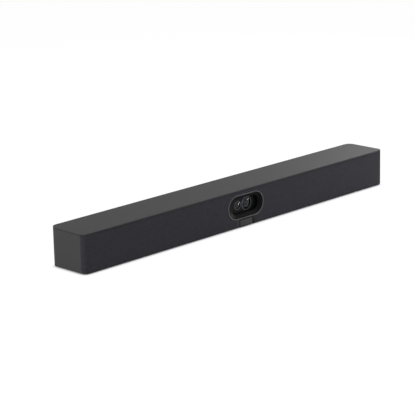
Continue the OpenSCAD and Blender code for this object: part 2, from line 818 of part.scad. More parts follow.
module camera_bracket() color(c_steel) difference() {
    union() {
        box_between([bracket_x0, pocket_back_y, bracket_z0], [bracket_x1, bracket_back_y, track_z1]);
        for (side = [-1, 1]) translate([side * bracket_leg_x, 0, 0]) {
            box_between([-bracket_leg_w / 2, pocket_back_y, floor_top + bracket_pad_h],
                [bracket_leg_w / 2, bracket_back_y, bracket_z0 + over]);
            box_between([-bracket_leg_w / 2, pocket_back_y, floor_top + bracket_pad_h],
                [bracket_leg_w / 2, pocket_back_y + bracket_foot_d, floor_top + bracket_pad_h + bracket_t]);
        }
        along_y(track_back_y, bracket_back_y) at_track_screws() circle(bracket_boss_r);
        along_y(pocket_back_y, sensor_board_y) at_board_posts() circle(bracket_boss_r);
    }
    along_y(track_back_y - over, bracket_back_y + over) {
        at_wide_lens() circle(wide_d / 2 + barrel_wall + barrel_flange + bracket_gap);
        at_narrow_lens() circle(narrow_d / 2 + barrel_wall + barrel_flange + bracket_gap);
        translate([pinion_x, pinion_z]) circle(motor_r + fit_gap);
        at_track_screws() circle(small_screw[0] + thread_gap);
    }
    along_y(sensor_board_y - small_screw[3] - fit_gap, sensor_board_y + over) at_board_posts()
        circle(small_screw[0]);
    at_bracket_feet() translate([0, 0, floor_top])
        cylinder(r = small_screw[0] + thread_gap, h = bracket_z0 - floor_top);
}

module sensor_board() color(c_board) along_y(sensor_board_y, sensor_board_y + sensor_board_t)
    difference() {
        translate([-sensor_board_w / 2, sensor_board_z0])
            square([sensor_board_w, sensor_board_z1 - sensor_board_z0]);
        at_board_posts() circle(small_screw[0] + thread_gap);
    }

module image_sensors() color(c_glass) along_y(sensor_board_y - sensor_t, sensor_board_y) {
    at_wide_lens() square([sensor_w[0], sensor_h[0]], center = true);
    at_narrow_lens() square([sensor_w[1], sensor_h[1]], center = true);
}

module camera_heat_spreader() color(c_steel) {
    y0 = sensor_board_y + sensor_board_t;
    box_between([-spreader_w / 2, y0, spreader_z0], [spreader_w / 2, y0 + spreader_base, spreader_z1]);
    for (k = [0 : spreader_fins - 1])
        translate([-spreader_w / 2 + k * (spreader_w - spreader_fin_t) / (spreader_fins - 1), 0, 0])
            box_between([0, y0, spreader_z0],
                [spreader_fin_t, y0 + spreader_base + spreader_fin, spreader_z1]);
}

// Ribbon down the back of the sensor board and along to its plug on the main board
module camera_flex() color(c_flex) {
    y0 = sensor_board_y + sensor_board_t;
    plug_y0 = max(y0, board_y0);
    box_between([flex_x0, y0, board_z1 + flex_plug_h], [flex_x0 + flex_w, y0 + flex_t, flex_z1]);
    box_between([flex_x0, y0, board_z1 + flex_plug_h],
        [flex_x0 + flex_w, plug_y0 + flex_plug, board_z1 + flex_plug_h + flex_t]);
    box_between([flex_x0, plug_y0, board_z1],
        [flex_x0 + flex_w, plug_y0 + flex_plug, board_z1 + flex_plug_h]);
}

module camera_screws() color(c_steel) {
    for (x = track_screw_x, z = [track_z0 + track_screw_inset, track_z1 - track_screw_inset])
        translate([x, bracket_back_y, z]) screw_to_rear(small_screw, small_screw[3]);
    for (side = [-1, 1], z = board_post_z)
        translate([side * board_post_x, sensor_board_y + sensor_board_t, z])
            screw_to_rear(small_screw, small_screw[3]);
    at_bracket_feet() translate([0, 0, floor_top + bracket_pad_h + bracket_t])
        screw(small_screw, bracket_t + bracket_pad_h);
}

// Speaker pieces are drawn on the right and mirrored for the left
module at_driver_screws() for (sx = [-1, 1], sz = [-1, 1])
    translate([speaker_x + sx * driver_screw_at, driver_z + sz * driver_screw_at]) children();

module speaker_enclosure() difference() {
    box_between([speaker_box_x0, baffle_y, floor_top], [speaker_box_x1, box_back_y, box_z1]);
    difference() {
        box_between([speaker_box_x0 + box_wall, baffle_y + box_wall, floor_top + box_wall],
            [speaker_box_x1 - box_wall, box_back_y - box_wall, box_z1 - box_wall]);
        along_y(baffle_y, baffle_y + driver_boss_l) at_driver_screws() circle(driver_boss_r);
    }
    along_y(baffle_y - over, baffle_y + box_wall + over) translate([speaker_x, driver_z])
        circle(driver_hole_r);
    along_y(baffle_y - over, baffle_y + driver_boss_l + over) at_driver_screws() circle(driver_screw[0]);
}
module left_speaker_enclosure() color(c_black) mirror([1, 0, 0]) speaker_enclosure();
module right_speaker_enclosure() color(c_black) speaker_enclosure();

// Turns a profile of radius and distance behind the baffle about the driver's axis
module about_driver() translate([speaker_x, baffle_y, driver_z]) rotate([-90, 0, 0])
    rotate_extrude() children();

module speaker_basket() {
    window_r0 = basket_end_r - basket_ring_t;
    window_y0 = basket_skirt + ledge_t;
    window_y1 = basket_depth - 2 * basket_ring_t;
    difference() {
        along_y(baffle_y - flange_t, baffle_y) translate([speaker_x, driver_z])
            rounded(driver_flange, driver_flange, driver_corner_r);
        along_y(baffle_y - flange_t - over, baffle_y + over) translate([speaker_x, driver_z])
            circle(basket_mouth_r);
        along_y(baffle_y - flange_t - over, baffle_y + over) at_driver_screws()
            circle(driver_screw[0] + thread_gap);
    }
    difference() {
        about_driver() {
            translate([basket_mouth_r, -flange_t]) square([basket_wall, flange_t + basket_skirt]);
            translate([ledge_r, ledge_y]) square([basket_r - ledge_r, ledge_t]);
            polygon([[basket_r, basket_skirt - over], [basket_r, basket_skirt],
                [basket_end_r + basket_wall, basket_depth], [basket_ring_r, basket_depth],
                [basket_ring_r, basket_depth - basket_ring_t], [basket_end_r, basket_depth - basket_ring_t],
                [basket_mouth_r, basket_skirt - over]]);
        }
        for (k = [0 : basket_windows - 1]) translate([speaker_x, 0, driver_z])
            rotate([0, (k + 0.5) * 360 / basket_windows, 0])
                box_between([window_r0, baffle_y + window_y0, -basket_window / 2],
                    [basket_r + over, baffle_y + window_y1, basket_window / 2]);
    }
}
module left_speaker_basket() color(c_steel) mirror([1, 0, 0]) speaker_basket();
module right_speaker_basket() color(c_steel) speaker_basket();

module speaker_surround() about_driver() {
    roll = (roll_r1 - roll_r0) / 2;
    translate([roll_r1 - surround_t, ledge_y - surround_t]) square([surround_lip + surround_t, surround_t]);
    intersection() {
        translate([roll_r0 + roll, ledge_y]) difference() {
            circle(roll);
            circle(roll - surround_t);
        }
        translate([0, ledge_y - 2 * roll]) square([basket_r, 2 * roll]);
    }
}
module left_speaker_surround() color(c_black) mirror([1, 0, 0]) speaker_surround();
module right_speaker_surround() color(c_black) speaker_surround();

module speaker_cone() about_driver() {
    cap_r = (coil_r * coil_r + dust_cap_rise * dust_cap_rise) / (2 * dust_cap_rise);
    coil_y = ledge_y + cone_depth;
    polygon([[cone_r, ledge_y - cone_t], [cone_r, ledge_y], [coil_r, coil_y], [coil_r, coil_y + coil_l],
        [coil_r - coil_t, coil_y + coil_l], [coil_r - coil_t, coil_y - cone_t],
        [coil_r, coil_y - cone_t]]);
    intersection() {
        translate([0, coil_y - cone_t - dust_cap_rise + cap_r]) difference() {
            circle(cap_r);
            circle(cap_r - cone_t);
        }
        translate([0, coil_y - cone_t - dust_cap_rise - over])
            square([coil_r, dust_cap_rise + over + cone_t / 2]);
    }
}
module left_speaker_cone() color(c_paper) mirror([1, 0, 0]) speaker_cone();
module right_speaker_cone() color(c_paper) speaker_cone();

module speaker_magnet() about_driver() translate([0, basket_depth]) difference() {
    square([magnet_r, magnet_l]);
    translate([coil_r - coil_t - magnet_gap, -over]) square([coil_t + 2 * magnet_gap, magnet_slot + over]);
}
module left_speaker_magnet() color(c_steel) mirror([1, 0, 0]) speaker_magnet();
module right_speaker_magnet() color(c_steel) speaker_magnet();

module speaker_screws() color(c_steel) for (side = [0, 1], sx = [-1, 1], sz = [-1, 1])
    mirror([side, 0, 0]) translate([speaker_x + sx * driver_screw_at, baffle_y - flange_t,
        driver_z + sz * driver_screw_at]) screw_to_front(driver_screw, driver_screw[3]);

// Two wires from each enclosure to a plug on the main board
module speaker_leads() color(c_black) for (side = [0, 1]) mirror([side, 0, 0]) {
    y0 = board_y0 + 2 * board_screw_inset;
    lead_y = y0 + lead_plug[1] / 2;
    box_between([board_w / 2 - lead_plug[0], y0, board_z1],
        [board_w / 2, y0 + lead_plug[1], board_z1 + lead_plug[2]]);
    for (k = [-1, 1]) translate([board_w / 2 - over, lead_y + k * lead_pitch / 2, board_z1 + lead_z])
        rotate([0, 90, 0]) cylinder(r = lead_r, h = speaker_lead_l + over);
}

module at_microphones() for (side = [-1, 1], k = [0 : mics_side - 1])
    translate([side * (mic_x0 + mic_board_w / 2 + (k - (mics_side - 1) / 2) * mic_pitch),
        mic_board_z0 + mic_board_h / 2]) children();

module microphone_board() difference() {
    box_between([mic_x0, frame_back_y, mic_board_z0],
        [mic_x0 + mic_board_w, frame_back_y + mic_board_t, mic_board_z0 + mic_board_h]);
    along_y(frame_back_y - over, frame_back_y + mic_board_t + over) at_microphones() circle(mic_hole_r);
}
module left_microphone_board() color(c_board) mirror([1, 0, 0]) microphone_board();
module right_microphone_board() color(c_board) microphone_board();

module microphones() color(c_steel)
    along_y(frame_back_y + mic_board_t, frame_back_y + mic_board_t + mic_size[1])
        at_microphones() square([mic_size[0], mic_size[2]], center = true);

module at_board_screws() for (side = [-1, 1]) {
    for (y = [board_y0 + board_screw_inset, board_y1 - board_screw_inset])
        translate([side * (board_w / 2 - board_screw_inset), y, 0]) children();
    translate([side * board_mid_x, board_y0 + board_screw_inset, 0]) children();
}

module main_board() color(c_board) difference() {
    union() {
        box_between([-board_w / 2, board_y0, board_z0], [board_w / 2, board_y1, board_z1]);
        for (k = [0 : len(chip_sizes) - 1]) {
            place = [chip_place_shares[k][0] * board_w, board_y0 + chip_place_shares[k][1] * board_d];
            translate([place[0] - chip_sizes[k][0] / 2, place[1] - chip_sizes[k][1] / 2, board_z0])
                cube([chip_sizes[k][0], chip_sizes[k][1], board_t + chip_sizes[k][2]]);
        }
    }
    at_board_screws() translate([0, 0, board_z0 - over])
        cylinder(r = board_screw[0] + thread_gap, h = board_t + 2 * over);
}

module processor_shield() color(c_steel) translate([shield_x, shield_y, board_z1])
    difference() {
        translate([-shield_w / 2, -shield_d / 2, 0]) cube([shield_w, shield_d, shield_h]);
        translate([-shield_w / 2 + shield_wall, -shield_d / 2 + shield_wall, -over])
            cube([shield_w - 2 * shield_wall, shield_d - 2 * shield_wall, shield_h - shield_wall + over]);
    }

module heat_sink() color(c_dark)
    translate([shield_x, shield_y, board_z1 + shield_h]) {
        translate([-shield_w / 2, -shield_d / 2, 0]) cube([shield_w, shield_d, sink_base]);
        for (k = [0 : sink_fins - 1])
            translate([-shield_w / 2 + k * (shield_w - sink_fin_t) / (sink_fins - 1), -shield_d / 2, 0])
                cube([sink_fin_t, shield_d, sink_base + sink_fin_h]);
    }

// Body of a jack that stands on the board, with its mouth in the bay
module jack_body(x, j) box_between([x - j[0] / 2, bay_y - j[2], board_z1],
    [x + j[0] / 2, bay_y, board_z1 + j[1]]);

module network_jack() color(c_steel) difference() {
    jack_body(network_x, network);
    along_y(bay_y - network_port[2], bay_y + over) translate([network_x, board_z1 + network_rise]) {
        translate([-network_port[0] / 2, 0]) square([network_port[0], network_port[1]]);
        translate([-network_latch[0] / 2, 0]) square([network_latch[0], network_port[1] + network_latch[1]]);
    }
}

module usb_jacks() color(c_steel) for (x = usb_x) {
    difference() {
        jack_body(x, usb);
        box_between([x - usb[0] / 2 + usb_wall, bay_y - usb[2] + usb_tongue[2], board_z1 + usb_wall],
            [x + usb[0] / 2 - usb_wall, bay_y + over, board_z1 + usb[1] - usb_wall]);
    }
    box_between([x - usb_tongue[0] / 2, bay_y - usb[2], board_z1 + usb[1] / 2],
        [x + usb_tongue[0] / 2, bay_y - usb_tongue[2], board_z1 + usb[1] / 2 + usb_tongue[1]]);
}

module usb_c_jack() color(c_steel) translate([usb_c_x, 0, board_z1 + usb_c[1] / 2]) {
    along_y(bay_y - usb_c[2], bay_y) difference() {
        stadium(usb_c[0], usb_c[1]);
        stadium(usb_c[0] - 2 * usb_wall, usb_c[1] - 2 * usb_wall);
    }
    along_y(bay_y - usb_c[2], bay_y - usb_c[2] + usb_c_tongue[2]) stadium(usb_c[0], usb_c[1]);
    along_y(bay_y - usb_c[2], bay_y - usb_c_tongue[2])
        square([usb_c_tongue[0], usb_c_tongue[1]], center = true);
}

// Outline of a video jack with its two lower corners cut off, drawn in by a distance
module hdmi_outline(inset) {
    w = hdmi[0] / 2 - inset;
    h = hdmi[1] / 2 - inset;
    polygon([[-w, h], [-w, -h + hdmi_chamfer], [-w + hdmi_chamfer, -h], [w - hdmi_chamfer, -h],
        [w, -h + hdmi_chamfer], [w, h]]);
}
module hdmi_jacks() color(c_steel) for (x = hdmi_x) translate([x, 0, board_z1 + hdmi[1] / 2]) {
    along_y(bay_y - hdmi[2], bay_y) difference() {
        hdmi_outline(0);
        hdmi_outline(hdmi_wall);
    }
    along_y(bay_y - hdmi[2], bay_y - hdmi[2] + hdmi_tongue[2]) hdmi_outline(0);
    along_y(bay_y - hdmi[2], bay_y - hdmi_tongue[2]) square([hdmi_tongue[0], hdmi_tongue[1]], center = true);
}

module audio_jack() color(c_black) difference() {
    jack_body(audio_x, audio);
    along_y(bay_y - audio_depth, bay_y + over) translate([audio_x, board_z1 + audio[1] / 2]) circle(audio_r);
}

module power_jack() color(c_black) {
    difference() {
        jack_body(power_x, power);
        along_y(bay_y - power_depth, bay_y + over) translate([power_x, power_z]) circle(power_r);
    }
    along_y(bay_y - power[2] + over, bay_y - over) translate([power_x, power_z]) circle(power_pin_r);
}

// Planes of the reset button, from its collar behind the port plate back into the switch
reset_z = board_z1 + reset_rise;
reset_collar_y1 = plate_y - run_gap;
reset_collar_y0 = reset_collar_y1 - reset_collar_t;
reset_switch_y = reset_collar_y0 - reset_travel - run_gap;

module reset_switch() color(c_steel) difference() {
    box_between([reset_x - reset_body[0] / 2, reset_switch_y - reset_body[1], board_z1],
        [reset_x + reset_body[0] / 2, reset_switch_y, board_z1 + reset_body[2]]);
    along_y(reset_switch_y - reset_stem_l - reset_travel - run_gap, reset_switch_y + over)
        translate([reset_x, reset_z]) circle(reset_stem_r + reset_bore_gap);
}

module reset_button() color(c_black) {
    along_y(reset_switch_y - reset_stem_l + reset_travel, reset_collar_y1)
        translate([reset_x, reset_z]) circle(reset_stem_r);
    along_y(reset_collar_y0, reset_collar_y1) translate([reset_x, reset_z]) circle(reset_collar_r);
    along_y(reset_collar_y0, bay_y + reset_proud) translate([reset_x, reset_z]) circle(reset_r);
}

module port_hole(x, j) translate([x - j[0] / 2 - port_gap, board_z1 - port_gap])
    square([j[0] + 2 * port_gap, j[1] + 2 * port_gap]);

module port_plate() color(c_black) along_y(plate_y, bay_y) difference() {
    translate([-bay_w / 2 - bay_wall, bay_z0 - bay_wall])
        square([bay_w + 2 * bay_wall, bay_h + 2 * bay_wall]);
    port_hole(network_x, network);
    for (x = usb_x) port_hole(x, usb);
    port_hole(usb_c_x, usb_c);
    for (x = hdmi_x) port_hole(x, hdmi);
    port_hole(audio_x, audio);
    port_hole(power_x, power);
    translate([reset_x, reset_z]) circle(reset_r + run_gap);
}

module antennas() color(c_flex) for (side = [0, 1]) mirror([side, 0, 0])
    box_between([half_w - side_wall - antenna_t, -antenna_w / 2, antenna_z],
        [half_w - side_wall, antenna_w / 2, antenna_z + antenna_h]);

module board_screws() color(c_steel) at_board_screws() translate([0, 0, board_z1])
    screw(board_screw, board_screw[3]);

module case_screws() color(c_steel) at_case_posts() translate([0, 0, post_z1 - screw_floor])
    rotate([180, 0, 0]) screw(case_screw, case_screw[3]);

module at_ears() for (side = [-1, 1], x = ear_at) translate([side * x, 0, 0]) children();

module rear_panel_screws() color(c_steel) at_ears()
    translate([0, rear_y - panel_screw[2], ear_screw_z]) screw_to_rear(panel_screw, panel_screw[3]);

module at_wall_mounts() for (side = [-1, 1]) translate([side * wall_mount_x, 0, insert_z]) children();

module wall_mount_inserts() color(c_brass) at_wall_mounts() along_y(rear_y - insert_l, rear_y) difference() {
    circle(wall_mount_r + insert_wall);
    circle(wall_mount_r);
}

module tripod_insert() color(c_brass) translate([0, tripod_y, foot_h]) difference() {
    cylinder(r = tripod_r + tripod_wall, h = tripod_l);
    translate([0, 0, -over]) cylinder(r = tripod_r, h = tripod_l + 2 * over);
}

bottom_tray();
top_cover();
left_end_cap();
right_end_cap();
rear_panel();
grille_frame();
grille_fabric();
rubber_feet();
name_plate();
window_trim();
camera_bezel();
lens_cap_track();
lens_cap();
lens_cap_pinion();
lens_cap_motor_shaft();
lens_cap_motor();
camera_pocket();
wide_lens_barrel();
wide_lens_glass();
narrow_lens_barrel();
narrow_lens_glass();
camera_bracket();
sensor_board();
image_sensors();
camera_heat_spreader();
camera_flex();
camera_screws();
left_speaker_enclosure();
left_speaker_basket();
left_speaker_surround();
left_speaker_cone();
left_speaker_magnet();
right_speaker_enclosure();
right_speaker_basket();
right_speaker_surround();
right_speaker_cone();
right_speaker_magnet();
speaker_screws();
speaker_leads();
left_microphone_board();
right_microphone_board();
microphones();
main_board();
processor_shield();
heat_sink();
network_jack();
hdmi_jacks();
usb_jacks();
usb_c_jack();
audio_jack();
power_jack();
reset_switch();
reset_button();
port_plate();
antennas();
board_screws();
case_screws();
rear_panel_screws();
wall_mount_inserts();
tripod_insert();
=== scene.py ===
# %% [markdown]
# # A conference camera, dressed in Blender
# The bar's solids come from the CAD model, already at their real size and place. This lesson gives
# them soft edges and finishes, makes the pieces that the solids only stand for, such as the cloth
# front, and sets up a plain studio. Blender counts in metres. The bar's own sizes are written in
# millimetres and multiplied by MM where they reach a mesh. The camera, the floor and the lamps are
# written in metres.

# %% Load the frame
import json
import math
import bmesh
import bpy
from mathutils import Matrix, Vector
from mathutils.geometry import delaunay_2d_cdt


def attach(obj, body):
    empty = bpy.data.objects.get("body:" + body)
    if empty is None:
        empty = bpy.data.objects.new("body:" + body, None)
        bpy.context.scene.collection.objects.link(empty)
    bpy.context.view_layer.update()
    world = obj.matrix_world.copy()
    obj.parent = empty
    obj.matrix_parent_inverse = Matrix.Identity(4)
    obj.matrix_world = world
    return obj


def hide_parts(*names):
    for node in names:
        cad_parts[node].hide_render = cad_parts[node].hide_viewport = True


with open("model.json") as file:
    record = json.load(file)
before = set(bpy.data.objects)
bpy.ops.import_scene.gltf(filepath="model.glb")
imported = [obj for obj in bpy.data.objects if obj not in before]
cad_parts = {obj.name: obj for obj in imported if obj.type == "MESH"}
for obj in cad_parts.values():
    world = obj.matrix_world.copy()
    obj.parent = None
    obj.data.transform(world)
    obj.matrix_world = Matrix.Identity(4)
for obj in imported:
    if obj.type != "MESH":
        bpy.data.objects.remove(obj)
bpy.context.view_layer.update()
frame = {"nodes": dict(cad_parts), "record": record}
MM = 0.001
SCENE = bpy.context.scene

# %% [markdown]
# ## Measures from the solids
# The pieces made in this lesson have to fit the solids, so most of their places are read from them.
# A mesh stores a decimal only roughly, so a measure is rounded to a thousandth of a millimetre.

# %% Measures
X, Y, Z = 0, 1, 2
DECIMALS = 3


def reach(name, axis, margin=0.0):
    """The lowest and the highest place of a solid along one axis, moved out by a margin, in mm."""
    places = [v.co[axis] / MM for v in frame["nodes"][name].data.vertices]
    return round(min(places) - margin, DECIMALS), round(max(places) + margin, DECIMALS)


def size_of(name, axis, margin=0.0):
    low, high = reach(name, axis, margin)
    return round(high - low, DECIMALS)


def middle_of(name, axis):
    low, high = reach(name, axis)
    return round((low + high) / 2, DECIMALS)


print("window trim in mm", [size_of("window_trim", axis) for axis in (X, Y, Z)])

# %% [markdown]
# ## The camera
# The photograph looks down the bar from the left with a long lens. The place and the three axes
# below come from matching straight edges of the bar. A camera can be aimed with a constraint,
# but the picture is also rolled a little, so its matrix is written out in full.

# %% Camera
EYE = Vector((-1.69234, -1.62639, 0.66421))
RIGHT = Vector((0.69783969, -0.71593988, -0.02120971))
UP = Vector((0.20337738, 0.16966865, 0.9642874))
AHEAD = Vector((0.68677318, 0.6772316, -0.2640075))
FOCAL_LENGTH, SENSOR_WIDTH = 150.89, 36
NEAR, FAR = 0.05, 60

lens = bpy.data.cameras.new("camera")
lens.lens, lens.sensor_width = FOCAL_LENGTH, SENSOR_WIDTH
lens.clip_start, lens.clip_end = NEAR, FAR
camera = bpy.data.objects.new("camera", lens)
SCENE.collection.objects.link(camera)
aimed = Matrix((RIGHT, UP, -AHEAD)).transposed().to_4x4()
camera.matrix_world = Matrix.Translation(EYE) @ aimed
SCENE.camera = camera
print("camera at", tuple(round(v, 2) for v in EYE), "lens", lens.lens)

# %% [markdown]
# ## Short calls for materials
# A material is a tree of nodes. Writing each node and link in full takes many lines, so one small
# class keeps the tree and offers a call for each kind of step: add a node, do a sum, mix two
# colours, and turn a height into a bump. Every finish below is made of these calls.

# %% Material helper
SCREEN_GAMMA = 2.2


def grey(level, tint=(1, 1, 1)):
    """A colour from a display level of 0 to 255, as the shader wants it."""
    linear = [max(0, min(1, level * t / 255)) ** SCREEN_GAMMA for t in tint]
    return (*linear, 1)


class Finish:
    def __init__(self, name, **values):
        self.material = bpy.data.materials.new(name)
        self.material.use_nodes = True
        self.tree = self.material.node_tree
        self.shader = self.tree.nodes["Principled BSDF"]
        self.feed(self.shader, {k.replace("_", " "): v for k, v in values.items()})

    def feed(self, node, inputs):
        for key, value in inputs.items():
            if isinstance(value, bpy.types.NodeSocket):
                self.tree.links.new(value, node.inputs[key])
            else:
                node.inputs[key].default_value = value

    def add(self, kind, inputs=None, out=0, **settings):
        node = self.tree.nodes.new("ShaderNode" + kind)
        for key, value in settings.items():
            setattr(node, key, value)
        self.feed(node, inputs or {})
        return node.outputs[out]

    def place(self, scale=(1, 1, 1), by="Object"):
        return self.add("Mapping", {"Vector": self.add("TexCoord", out=by), "Scale": scale})

    def sum(self, what, a, b=0.0):
        return self.add("Math", {0: a, 1: b}, operation=what)

    def noise(self, scale, detail=2.0, where=None, rough=0.5):
        return self.add("TexNoise", {"Vector": where or self.place(), "Scale": scale,
                                     "Detail": detail, "Roughness": rough})

    def span(self, value, low, high, start=0.3, end=0.7):
        return self.add("MapRange", {"Value": value, "From Min": start, "From Max": end,
                                     "To Min": low, "To Max": high})

    def mix(self, amount, a, b):
        return self.add("Mix", {0: amount, 6: a, 7: b}, out=2, data_type="RGBA")

    def bump(self, height, depth, strength):
        return self.add("Bump", {"Height": height, "Distance": depth, "Strength": strength})

    def done(self, **sockets):
        self.feed(self.shader, {k.replace("_", " "): v for k, v in sockets.items()})
        return self.material


# %% [markdown]
# ## Plastics, cloth and rubber
# The shell is moulded plastic with a fine spark-eroded texture, so it scatters light and mirrors
# hardly any. Two noises do this: a very fine one for the texture, and a wide one that keeps a large
# face from looking like one flat colour.

# %% Moulded plastics
PLASTIC_INDEX = 1.49
WIDE_PATCHES, FINE_GRAIN = 14, 2600
TONE_SWING, GLOSS_SWING = 0.05, 0.01
SPECK_SHARE, SPECK_LIFT = 0.18, 1.35


def moulded(name, level, tint=(1, 1, 1), rough=0.5, depth=0.02, shine=0.3):
    f = Finish(name, Specular_IOR_Level=shine, IOR=PLASTIC_INDEX)
    wide = f.noise(WIDE_PATCHES, detail=3)
    fine = f.noise(FINE_GRAIN, detail=2, rough=0.6)
    dull, bright = (grey(level * (1 + side * TONE_SWING / 2), tint) for side in (-1, 1))
    shade = f.mix(f.span(wide, 0, 1), dull, bright)
    speck = f.mix(f.span(fine, 0.0, SPECK_SHARE), shade, grey(level * SPECK_LIFT, tint))
    return f.done(Base_Color=speck, Roughness=f.span(wide, rough - GLOSS_SWING, rough + GLOSS_SWING),
                  Normal=f.bump(fine, depth * MM, strength=0.5))


finishes = {
    "shell": moulded("moulded_shell", 71, (1, 1, 1.004), rough=0.5, shine=0.04),
    "dark_plastic": moulded("dark_satin_plastic", 25, rough=0.45, depth=0.008, shine=0.04),
    "black_plastic": moulded("black_plastic", 23, rough=0.42, depth=0.01, shine=0.08),
    "soft_rubber": moulded("soft_rubber", 28, rough=0.75, depth=0.03),
    "lead_sleeve": moulded("lead_sleeve", 30, rough=0.6, depth=0.01),
}
barrel_paint = moulded("barrel_paint", 46, rough=0.3, depth=0.004, shine=0.5)
ceramic = moulded("ceramic_part", 128, (1, 0.86, 0.68), rough=0.4, depth=0.005)
light_windows = {
    "green": moulded("green_window", 120, (0.45, 1, 0.5), rough=0.3, depth=0.002),
    "amber": moulded("amber_window", 168, (1, 0.66, 0.2), rough=0.3, depth=0.002),
}
print("plastics", sorted(finishes))

# %% [markdown]
# The front is a plain woven acoustic cloth with threads about half a millimetre apart. Its
# pattern has to bend round the corners with the cloth, so it reads the piece's own UV map, which
# is laid out in metres. Two cosine waves give the threads their round backs, and the product of
# two sines says which thread lies on top, as in a basket. The colour follows that height: darker
# in the gaps between threads, which is painted shade, and lighter on their backs, which is a
# painted highlight. Two noises add what a loom leaves: thick stretches along a thread, and darker
# patches a few millimetres wide.

# %% Acoustic cloth
THREAD_PITCH, THREAD_RISE = 0.55, 0.12
# gap and back are painted shade and painted highlight on the threads; thick and patch are the yarn's own tone
THREAD_SHADE_AND_TONES = {"gap": 0.72, "back": 1.12, "thick": 1.3, "patch": 0.8}


def woven(name, level, tint):
    f = Finish(name, Roughness=0.9, Specular_IOR_Level=0.2, Sheen_Weight=0.25, Sheen_Roughness=0.5)
    shade_and_tones = {part: grey(level * share, tint) for part, share in THREAD_SHADE_AND_TONES.items()}
    parts = f.add("SeparateXYZ", {0: f.add("TexCoord", out="UV")}).node
    along, across = (f.sum("MULTIPLY", parts.outputs[k], math.pi / (THREAD_PITCH * MM)) for k in (0, 1))
    ridge = [f.sum("ABSOLUTE", f.sum("COSINE", v)) for v in (along, across)]
    over = f.sum("MULTIPLY", f.sum("SINE", along), f.sum("SINE", across))
    top = f.span(over, 0, 1, start=-0.25, end=0.25)
    height = f.sum("ADD", f.sum("MULTIPLY", ridge[0], top),
                   f.sum("MULTIPLY", ridge[1], f.sum("SUBTRACT", 1.0, top)))
    slub = f.noise(900, detail=3, where=f.place((0.12, 1, 1), by="UV"), rough=0.7)
    patch = f.noise(230, detail=4, where=f.place(by="UV"), rough=0.65)
    # painted shade in the gaps between threads and a painted highlight on their backs
    painted_thread_shade = f.mix(f.span(height, 0, 1, start=0.1, end=1.0), shade_and_tones["gap"], shade_and_tones["back"])
    worn = f.mix(f.span(slub, 0, 0.3, start=0.4, end=0.7), painted_thread_shade, shade_and_tones["thick"])
    final = f.mix(f.span(patch, 0, 0.6), worn, shade_and_tones["patch"])
    f.feed(f.shader, {"Sheen Tint": grey(150, tint)})
    return f.done(Base_Color=final, Normal=f.bump(height, THREAD_RISE * MM, strength=0.6))


finishes["fabric"] = woven("acoustic_cloth", 58, (0.98, 0.97, 1.07))
print("cloth threads every", THREAD_PITCH, "mm")

# %% [markdown]
# The feet are cast rubber: dull, a little dusty, with small pores that a cell pattern gives.

# %% Rubber feet
def rubbery():
    f = Finish("foot_rubber", Specular_IOR_Level=0.35)
    pores = f.add("TexVoronoi", {"Vector": f.place(), "Scale": 1500.0})
    dust = f.noise(60, detail=4)
    colour = f.mix(f.span(dust, 0, 0.5), grey(24), grey(46))
    return f.done(Base_Color=colour, Roughness=f.span(dust, 0.7, 0.9),
                  Normal=f.bump(pores, 0.02 * MM, strength=0.4))


finishes["rubber"] = rubbery()
print("rubber ready")

# %% [markdown]
# ## Metals
# Sheet steel and aluminium are drawn through rollers or brushed, which leaves fine lines in one
# direction. A noise stretched twenty times or more along that direction gives the lines. The rim of
# the window is bead-blasted and anodised instead, so its texture has no direction.

# %% Metals
STAIN_TONES = (0.93, 1.05)
LINE_GLOSS, STAIN_GLOSS = (-0.06, 0.08), (-0.03, 0.05)


def metal(name, level, tint=(1, 1, 1), rough=0.3, stretch=(1, 1, 1), scale=900, depth=0.004):
    f = Finish(name, Metallic=1.0)
    lines = f.noise(scale, detail=3, where=f.place(stretch), rough=0.6)
    stain = f.noise(45, detail=4)
    colour = f.mix(f.span(stain, 0, 1), *(grey(level * share, tint) for share in STAIN_TONES))
    gloss = f.sum("ADD", f.span(lines, *(rough + swing for swing in LINE_GLOSS)), f.span(stain, *STAIN_GLOSS))
    return f.done(Base_Color=colour, Roughness=gloss, Normal=f.bump(lines, depth * MM, strength=0.35))


finishes.update({
    "rim_metal": metal("anodised_rim", 92, rough=0.34, scale=3200, depth=0.006),
    "bracket_steel": metal("rolled_steel", 176, (0.99, 1, 1.02), 0.34, (0.02, 1, 1)),
    "jack_steel": metal("plated_jack_steel", 150, (1, 1, 1.02), 0.3, (1, 1, 0.03), depth=0.001),
    "screw_steel": metal("zinc_screw_steel", 132, (1, 1, 1.03), 0.3, scale=1500),
    "sink_aluminium": metal("black_anodised_sink", 58, rough=0.45, stretch=(1, 0.02, 1)),
    "brass": metal("turned_brass", 196, (1, 0.86, 0.55), 0.28, (1, 0.05, 1)),
})
satin = metal("satin_inlay", 62, rough=0.42, stretch=(0.02, 1, 1), scale=1400)
gold = metal("gold_contacts", 214, (1, 0.84, 0.5), 0.2, (1, 0.03, 1))
print("metals", [k for k in finishes if "steel" in k or k in ("rim_metal", "sink_aluminium", "brass")])

# %% [markdown]
# ## Glass
# The front lenses are smoky blue glass. Glass this thick, with the index of real glass, would catch
# light from the side inside itself and turn white, so the index is low. The deeper glass is nearly
# black, as the inner lenses of a camera look from outside. Both colours change with how the surface
# faces the eye: the front glass is darker where it turns away, which is painted shade, and the deep
# glass is lighter there, which is a painted sheen.

# %% Lens glass
# the second tone of each pair is painted shade on the front glass and a painted sheen on the deep glass
GLASS_TINTS_AND_PAINTED_EDGES = {  # facing the eye, and turned away
    "front": ((0.30, 0.35, 0.48, 1), (0.22, 0.29, 0.40, 1)),
    "deep": ((0.001, 0.0013, 0.003, 1), (0.005, 0.004, 0.01, 1)),
}
FRONT_INDEX = 1.28


